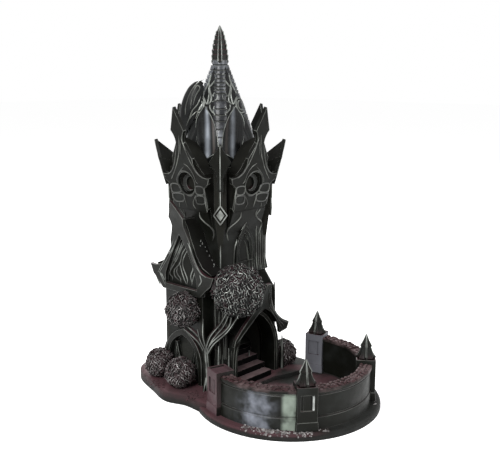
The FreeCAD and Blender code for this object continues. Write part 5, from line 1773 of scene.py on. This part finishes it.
@dataclass
class Roof(SubAssembly):
    """Lift-off roof: dome, petals, segmented spines, swirls and ribbed spire.

    The lines are points (x, z), as they run on the left face. The front face has them mirrored.

    Attributes:
        reach: distance of its corners from the axis, as a share of its half width.
        eyelet: middle of the two rings in the swirls.
        rings: half width and half height of each.
        petal_pair: side, lift and edge of the two petals of a face.
        joints: heights of the joints of a spine, with the half width of the plate below each.
        plate_section: how far a plate stands out, and its share of the width, from its top to its foot.
        tiers: heights and half widths of the spire's ribs.
        rib_place: how far out and apart they lie, as shares of the half width.
    """

    dome_half: float = 25.0
    reach: float = 1.228
    near_edge: Line = ((9.3, 193.4), (18.6, 199.6), (18.9, 206), (15.6, 216.6), (9.8, 226.4), (-1, 235.2))
    far_edge: Line = ((9.3, 193.4), (4, 198.6), (-0.6, 204.4), (-5.6, 214.9), (-7, 225.4), (-1, 235.2))
    swirls: tuple[Line, ...] = (
        ((-3.6, 265.1), (-2.4, 258.8), (-3.1, 253.4), (-5.9, 247), (-6.9, 243.4)),
        ((-0.5, 248.7), (0.7, 241.8), (-0.1, 237.1), (-5, 241.7), (-7.4, 243.4)),
        ((1, 265.6), (4.3, 261.4), (4.1, 256.6), (0.8, 252.4), (-1.4, 249.7), (-0.5, 245)),
        ((-3.4, 255.4), (-0.1, 248.1), (2.8, 243.9), (4.2, 239.7), (1.5, 236.9)),
        ((6.2, 250.8), (6.5, 247.2), (5.2, 243.5), (9, 244.6), (9.5, 240.9), (5, 238.8)),
        ((3.6, 237.1), (5.2, 233.4), (10.6, 229.6)), ((9.7, 236.6), (9.3, 232.5), (12.8, 227)),
    )
    spikes: tuple[Line, ...] = (
        ((-6.1, 215.6), (-1.5, 209.6), (9.2, 195.2)), ((-4.6, 203.2), (-1.2, 197.6), (1.8, 193.4)),
    )
    eyelet: Pair = (-7.8, 235.8)
    rings: Line = ((4.9, 5.9), (2.8, 3.7))
    petal_swell: float = 1.3
    petal_fold: float = 0.28
    petal_root: float = 1.2
    petal_pair: tuple[tuple[int, float, Tone], ...] = ((-1, 0.3, Tone.DIM), (1, 1.05, Tone.EDGE))
    lobe_lines: tuple[Line, ...] = (
        ((24.3, 233), (22.6, 243.4), (19.6, 250.8), (17.6, 251.4), (16.4, 249.4), (19.8, 243.4),
         (22, 236)), ((28.6, 228), (27.6, 236), (24, 246), (18.4, 253.6), (13.6, 256.4)),
        ((15.6, 243), (18.4, 236.6), (22.6, 231.4), (25.8, 223)),
        ((13.4, 246.6), (13.8, 239), (17.4, 232.4), (20, 224.6), (22.6, 217.4)),
        ((27.8, 219), (24.4, 226), (18.6, 231.4)), ((15, 231), (17, 225), (19.4, 217.4)),
    )
    joints: Line = (
        (272.5, 3.6), (268.4, 3.7), (264.2, 3.9), (260.9, 4), (257.6, 4.1), (254.4, 4.2), (251.2, 4.4),
        (248.5, 4.5), (245.8, 4.6), (240.3, 4.7), (233.8, 5), (229.1, 5.1), (224.2, 5), (217.9, 4.7),
        (211.6, 4.4), (205.6, 4),
    )
    plate_section: Line = ((0.6, 0.94), (0.8, 1.0), (0.75, 0.96), (0.62, 0.9))
    plate_width: float = 1.12
    plate_root: float = 2.2
    plate_back: float = 3.6
    tiers: Line = (
        (270, 7.2), (271.4, 7.6), (272.4, 6.8), (276, 7.3), (276.8, 6.4), (280, 6.9), (280.8, 5.8),
        (284, 6.2), (284.8, 5.1), (287.8, 5.4), (288.6, 4.2), (291.2, 4.4), (292, 3.2), (294.4, 3.3),
        (295.2, 2.1), (299.6, 0.15),
    )
    tier_width: float = 0.78
    squared: float = 0.55
    rib_span: Pair = (271.0, 298.6)
    rib_place: Pair = (0.93, 0.22)

    def build(self) -> None:
        """Builds all of it."""
        for node in ("lid_plug", "roof_dome", "roof_lobe"):
            self.dresser.copy(node, self.finishes.roof, self.finishes.dim_ridge)
        self.make_spire()
        self.make_spines()
        self.make_swirls()
        self.make_petals()
        self.make_lobe_flames()

    def make_petals(self) -> None:
        """Bud petals, two on each face: pointed, and folded along their length.

        A petal is ruled between its two edges, t running from -1 to 1 between them. It stands out from the
        dome by (1 - t ** 2) ** 0.7 of its swell, with three folds as a cosine wave over it, and it lies
        down at its foot and tip.
        """
        form = Form()
        across = np.linspace(-1, 1, 19)[None, :]
        near, far = curve(self.near_edge, 5)[:, None], curve(self.far_edge, 5)[:, None]
        spot = far * (1 - across[..., None]) / 2 + near * (1 + across[..., None]) / 2
        share = np.linspace(0, 1, len(near))[:, None]
        rise = np.sin(math.pi * np.clip(share * 0.96 + 0.02, 0, 1)) ** 0.5
        swell = (1 - across ** 2) ** 0.7
        bulge = rise * (self.petal_swell * swell + self.petal_fold * np.cos(3 * math.pi * across) * swell)
        for side in Side:
            face = DomeFace(side.value, self.dome_half)
            for hand, lift, tone in self.petal_pair:
                x, z = spot[..., 0] * hand * side.hand, spot[..., 1]
                front = face.at(x, z, lift + bulge)
                back = face.at(x, z, np.full_like(x, -self.petal_root))[:, ::-1]
                form.shell(np.concatenate([front, back], 1))
                for column in (0, -1):
                    out = face.normal(x[:, column], z[:, column])
                    form.tube(front[:, column], 0.65, 0.4, out, sides=6, tone=tone)
        self.dresser.piece("bud_petals", form, self.finishes.petal, self.finishes.ridge, ["roof_petals"],
                           crease=60)

    def make_lobe_flames(self) -> None:
        """Flame-like ribs on both flat sides of the lobe."""
        form = Form()
        for turn, hand in ((-45, -1), (135, 1)):
            lines = flipped(self.lobe_lines, hand)
            form.ribs(LobeFace(turn, 0.0), lines, wide=1.1, high=0.7, sink=0.2, steps=5)
        self.dresser.piece("lobe_flames", form, self.finishes.roof, self.finishes.soft_ridge)

    def make_spire(self) -> None:
        """Spire: four-sided tiers with soft corners, and two ribs up each corner that carry a painted
        highlight.

        Its section is a rounded square, the blend of a circle and a square at each angle.
        """
        form = Form()
        heights, halves = np.array(self.tiers).T
        turn = np.linspace(0, 2 * math.pi, 40, endpoint=False)
        section = halves[:, None] * (self.squared * squareness(turn) + 1 - self.squared) * self.tier_width
        form.shell(about(turn, section, heights[:, None]))
        height = np.linspace(*self.rib_span, 20)
        spread = np.interp(height, heights, halves)[:, None]
        out, apart = self.rib_place
        for corner in Corner:
            for hand in (-1, 1):
                path = corner.out * spread * out + corner.side * spread * hand * apart
                form.tube(path + UP * height[:, None], 0.75, 0.4, corner.out, sides=6, tone=Tone.EDGE)
        self.dresser.piece("ribbed_spire", form, self.finishes.lit, self.finishes.ridge, ["roof_spire"],
                           crease=30)

    def make_spines(self) -> None:
        """Corner spines: overlapping plates like vertebrae, each wider and prouder at its upper edge.

        Across a plate, t running from -1 to 1, it stands out by the root of 1 - (0.92 t) ** 2, an arc.
        """
        form = Form()
        dome = DomeFace(0, self.dome_half)
        proud, width = np.array(self.plate_section).T
        across = np.linspace(-1, 1, 7)
        arc = np.sqrt(1 - (across * 0.92) ** 2)
        for (top, half), (low, _) in zip(self.joints, self.joints[1:]):
            height = np.array([top - 0.15, top - 0.5, (top + low) / 2, low + 0.35])
            spine = dome.half(height)[:, None] * self.reach
            wide = (half * self.plate_width * width[:, None] * across)[..., None]
            climb = height[:, None, None] * UP
            for corner in Corner:
                reach = (spine - self.plate_root + (proud[:, None] + self.plate_root) * arc)[..., None]
                front = reach * corner.out + wide * corner.side + climb
                back = (spine - self.plate_back)[..., None] * corner.out + wide * corner.side + climb
                form.shell(np.concatenate([front, back[:, ::-1]], 1))
                form.tube(front[1] + corner.out * 0.05, 0.55, 0.25, corner.out, sides=6, tone=Tone.DIM)
        self.dresser.piece("spine_plates", form, self.finishes.plate, self.finishes.ridge, ["roof_spines"],
                           crease=35)

    def make_swirls(self) -> None:
        """Flowing ribs that swirl over the dome between its spines."""
        form = Form()
        for side in Side:
            face = DomeFace(side.value, self.dome_half)
            form.ribs(face, flipped(self.swirls, side.hand), wide=1.3, high=1.0, sink=0.2)
            form.ribs(face, flipped(self.spikes, side.hand), wide=2.0, high=1.2, sink=-1.2)
            ovals = [oval(self.eyelet, wide, tall, 16) for wide, tall in self.rings]
            form.ribs(face, flipped(ovals, side.hand), wide=1.3, high=1.0, closed=True, steps=3)
        self.dresser.piece("dome_swirls", form, self.finishes.roof, self.finishes.ridge)


# ---- tree and bushes


@dataclass
class Foliage(SubAssembly):
    """Tree at the front corner, its two crowns, and three bushes, all of small curled leaves.

    Attributes:
        balls: middle and radius of each mass of leaves, by the CAD node that it stands for.
        leaf_area: area of the ball that one leaf covers.
        leaf: half length, half width and height of a leaf.
        clump_proud: how far they stand out of its core.
        leaf_depth: lowest and highest place of a leaf against that reach.
        tousle: spread of the leaves' normals and of their turns, in radians.
        strands: each bough as points and radii.
        lit: the way that the boughs' painted highlight streaks face.
        walls: boxes that leaves must stay out of, as lowest and highest corners.
    """

    balls: dict[str, tuple[Point, float]] = field(default_factory=lambda: {
        "crown_front": ((-30, -49.5, 93), 22.0), "crown_left": ((-50, -7, 73), 15.5),
        "bush_rear_left": ((-51, 22, 20), 13.5), "bush_front_left": ((-56, -9, 21), 13.5),
        "bush_right": ((42.5, -34, 17.5), 13.5)})
    leaf_area: float = 5.2
    leaf: Point = (1.95, 0.7, 1.1)
    clump_radius: float = 8.0
    clump_pitch: float = 12.0
    clump_proud: float = 1.6
    core_depth: float = 1.3
    leaf_depth: Pair = (-1.7, -0.8)
    tousle: Pair = (0.34, 0.8)
    strands: tuple[tuple[tuple[float, float, float, float], ...], ...] = (
        ((-45.2, -30.4, 8, 3.4), (-45.6, -30, 24, 2.5), (-46.2, -29.2, 36, 2.2), (-46.4, -28.8, 44, 2)),
        ((-43.6, -31.4, 8, 2.6), (-44.4, -31.2, 22, 1.8), (-45.2, -30.6, 34, 1.7),
         (-45.6, -29.8, 45, 1.5)),
        ((-46.6, -28.6, 42, 1.9), (-43.4, -31.8, 54.5, 1.2), (-37.6, -38, 65.5, 1), (-34, -43, 78, 0.8)),
        ((-45.8, -29.6, 40, 1.8), (-43, -32.4, 48.9, 1.4), (-33.6, -42.2, 62.1, 1.2),
         (-31.8, -44.6, 74, 1)),
        ((-45.4, -30.4, 40, 1.8), (-41.6, -33.8, 47.9, 1.3), (-34.1, -42, 58.6, 1.2),
         (-28, -48.3, 72, 1)),
        ((-46.4, -28.6, 43, 1.6), (-49, -25.8, 50.8, 1.1), (-50.5, -24.2, 60, 0.5)),
        ((-46.8, -28, 44, 1.4), (-47.8, -22, 53, 1.3), (-49.6, -13, 59, 1.2), (-51, -6, 62, 1)),
        ((-46.4, -28.8, 46, 1.2), (-47.6, -27.3, 55.7, 1.3), (-47.4, -27.5, 68.7, 0.4)),
        ((-44, -31, 16, 1.8), (-40.4, -35.4, 11, 1.2), (-37.4, -38.4, 8.6, 0.5)),
        ((-46.6, -30, 20, 1.8), (-48.8, -30.4, 13, 1.3), (-50.6, -30.8, 8.6, 0.6)),
        ((-46, -29.3, 41, 1.5), (-42.2, -33, 51.6, 1.2), (-36, -39.8, 63.6, 1), (-33, -43.8, 76, 0.8)),
        ((-45.9, -29.6, 44, 1.1), (-44.7, -31, 51, 0.9), (-42.9, -32.9, 57.4, 0.4)),
        ((-46.9, -28.2, 41, 1.4), (-48.4, -22.8, 48.6, 1.2), (-50.8, -14.6, 54.6, 1), (-53, -8, 59, 0.8)),
    )
    girth: float = 1.18
    lit: Point = (-0.75, -0.66, 0.1)
    walls: tuple[tuple[tuple[float, float, float], tuple[float, float, float]], ...] = (
        ((-27, -27, 0), (27, 27, 190)), ((-42.6, -22.2, 0), (-27, 22.2, 84)),
    )
    soil: float = 9.2

    def build(self) -> None:
        """Builds all of it."""
        self.make_tree()
        for number, (node, (middle, radius)) in enumerate(self.balls.items()):
            self.make_ball(node, np.array(middle, float), radius, number)

    def make_tree(self) -> None:
        """Trunk and boughs of twisted strands, each with a painted highlight streak along the side that is
        lit.
        """
        form = Form()
        lit = unit(np.array(self.lit))
        for strand in self.strands:
            line = curve(strand, 8)
            path, radius = line[:, :3], line[:, 3] * self.girth
            form.tube(path, radius * 2, radius, lit)
            highlight_streak = path + lit * radius[:, None] * 0.86
            form.tube(highlight_streak, radius * 0.62, radius * 0.34, lit, sides=6, tone=Tone.EDGE)
        self.dresser.piece("twisted_tree", form, self.finishes.stone, self.finishes.ridge, ["tree_trunk"],
                           slot="leaf_black")

    def make_ball(self, node: str, middle: Array, radius: float, number: int) -> None:
        """One mass of leaves: a dark core in clumps, under curled leaves spread evenly over it.

        Args:
            node: the CAD node that it stands for.
            middle: its middle.
            radius: its radius.
            number: its number, which gives its random draws.
        """
        chance = np.random.default_rng(20 + number)
        form = Form()
        polar = np.linspace(0.03, math.pi - 0.03, 30)[:, None]
        turn = np.linspace(0, 2 * math.pi, 48, endpoint=False)
        shell = about(turn, np.sin(polar), np.cos(polar))
        core = self.clumped(shell, radius) - self.core_depth
        form.shell(middle + shell * core)
        normals = golden_spread(int(4 * math.pi * radius ** 2 / self.leaf_area))
        count = len(normals)
        depth = chance.uniform(*self.leaf_depth, (count, 1))
        places = middle + normals * (self.clumped(normals, radius) + depth)
        lean, twist = self.tousle
        normals = unit(normals + chance.normal(0, lean, (count, 3)))
        sizes = np.array(self.leaf) * chance.uniform(0.55, 1.3, (count, 3))
        axes = upright_axes(normals, math.pi / 2 + chance.normal(0, twist, count), sizes)
        free = self.in_open_air(places)
        form.scatter(leaf_seed(), places[free], axes[free])
        finish, edge = self.finishes.bush, self.finishes.bush_ridge
        if node == "crown_front":
            finish, edge = self.finishes.leaf, self.finishes.leaf_ridge
        self.dresser.piece(f"{node}_leaves", form, finish, edge, [node], crease=30, slot="leaf_black")

    def clumped(self, directions: Array, radius: float) -> Array:
        """Reach of a mass of leaves in each direction.

        It is the farther of the core's radius and of the clumps' spheres, where a sphere whose middle lies
        at m is met at m.d + sqrt(r ** 2 - |m| ** 2 + (m.d) ** 2) along the direction d.

        Args:
            directions: unit vectors, along the last axis.
            radius: radius of the mass.

        Returns:
            The reach, with a last axis of one.
        """
        middles = golden_spread(round(4 * math.pi * (radius / self.clump_pitch) ** 2))
        away = radius - self.clump_radius
        along = directions @ middles.T * away
        inside = self.clump_radius ** 2 - away ** 2 + along ** 2
        met = np.where(inside > 0, along + np.sqrt(np.maximum(inside, 0)), 0)
        return np.maximum(met.max(axis=-1, keepdims=True), radius - self.clump_proud)

    def in_open_air(self, places: Array) -> Array:
        """Finds the places outside the tower's walls and above the ground.

        Args:
            places: one place in each row.

        Returns:
            Whether each is free.
        """
        free = places[:, 2] > self.soil
        for low, high in self.walls:
            free &= ~np.all((places > low) & (places < high), axis=1)
        return free


# ---- the studio


@dataclass(frozen=True)
class Studio:
    """Camera, lamps, pale floor and white surroundings.

    Attributes:
        eye: place of the camera, in metres.
        heading: turn of the camera to its right of +Y, in degrees.
        tilt: how far it looks down, in degrees.
        lamps: place, width and power of each lamp.
    """

    eye: Point = (-0.4564, -0.4606, 0.2617)
    heading: float = 46.951
    tilt: float = 11.493
    roll: float = 0.212
    lens: float = 55.87
    sensor: float = 36.0
    lamps: tuple[tuple[str, Point, float, float], ...] = (
        ("key", (-0.75, -0.25, 0.75), 0.5, 9.0),
        ("fill", (0.35, -0.95, 0.45), 0.6, 5.0),
        ("rim", (0.45, 0.75, 0.8), 0.5, 8.0),
    )
    target: Point = (0.0, -0.03, 0.14)
    light: float = 0.4
    floor_half: float = 6000.0
    floor_drop: float = 0.05
    floor_white: float = 0.92
    floor_glow: float = 0.62

    def build(self) -> None:
        """Builds all of it."""
        bpy.context.scene.view_settings.view_transform = "Standard"
        self.make_camera()
        self.make_lamps()
        self.make_world()
        self.make_floor()

    def make_camera(self) -> None:
        """The camera, at the photograph's place and lens."""
        data = bpy.data.cameras.new("camera")
        data.lens = self.lens
        data.sensor_width = self.sensor
        camera = bpy.data.objects.new("camera", data)
        bpy.context.scene.collection.objects.link(camera)
        camera.matrix_world = (Matrix.Translation(self.eye)
                               @ Matrix.Rotation(math.radians(-self.heading), 4, "Z")
                               @ Matrix.Rotation(math.radians(90 - self.tilt), 4, "X")
                               @ Matrix.Rotation(math.radians(self.roll), 4, "Z"))
        bpy.context.scene.camera = camera

    def make_lamps(self) -> None:
        """Three soft lamps: a key from the upper left, a fill from the right, and a rim from behind."""
        for name, place, width, power in self.lamps:
            data = bpy.data.lights.new(name, "AREA")
            data.size = width
            data.energy = power
            lamp = bpy.data.objects.new(name, data)
            bpy.context.scene.collection.objects.link(lamp)
            back = unit(np.array(place) - self.target)
            side = unit(np.cross(UP, back))
            lamp.matrix_world = Matrix.Translation(place) @ Matrix(
                np.column_stack([side, np.cross(back, side), back]).tolist()).to_4x4()

    def make_world(self) -> None:
        """White surroundings for the camera and for reflections, and a plain grey light on the rest."""
        world = bpy.data.worlds.new("studio")
        bpy.context.scene.world = world
        nodes = NodeBook(world)
        background = nodes.add("ShaderNodeBackground", inputs={
            "Color": (1, 1, 1, 1), "Strength": nodes.seen_directly() * (1 - self.light) + self.light})
        nodes.add("ShaderNodeOutputWorld", inputs={"Surface": background})

    def make_floor(self) -> None:
        """A wide white floor just under the ground plate, which keeps a soft shadow."""
        form = Form()
        ends = np.array([-self.floor_half, self.floor_half])
        form.grid(np.stack(np.broadcast_arrays(ends[:, None], ends, -self.floor_drop), -1))
        mesh = form.mesh("floor")
        floor = bpy.data.objects.new("floor", mesh)
        bpy.context.scene.collection.objects.link(floor)
        material = bpy.data.materials.new("white_floor")
        nodes = NodeBook(material)
        shader = nodes.add("ShaderNodeBsdfPrincipled", inputs={
            "Base Color": (*[self.floor_white] * 3, 1), "Roughness": 0.7, "Specular IOR Level": 0.0,
            "Emission Color": (1, 1, 1, 1), "Emission Strength": nodes.seen_directly() * self.floor_glow})
        nodes.add("ShaderNodeOutputMaterial", inputs={"Surface": shader})
        mesh.materials.append(material)


def main() -> None:
    """Builds the pieces from the ground up, then the studio."""
    logging.basicConfig(level=logging.INFO, format="%(name)s: %(message)s")
    dresser = Dresser(Finishes())
    for part in (Ground(dresser), Tray(dresser), LowerStorey(dresser), Bay(dresser), UpperStorey(dresser),
                 Roof(Dresser(dresser.finishes, "roof", "roof_black")), Foliage(dresser), Studio()):
        LOG.info("building %s", type(part).__name__)
        part.build()


if __name__ == "__main__":
    main()
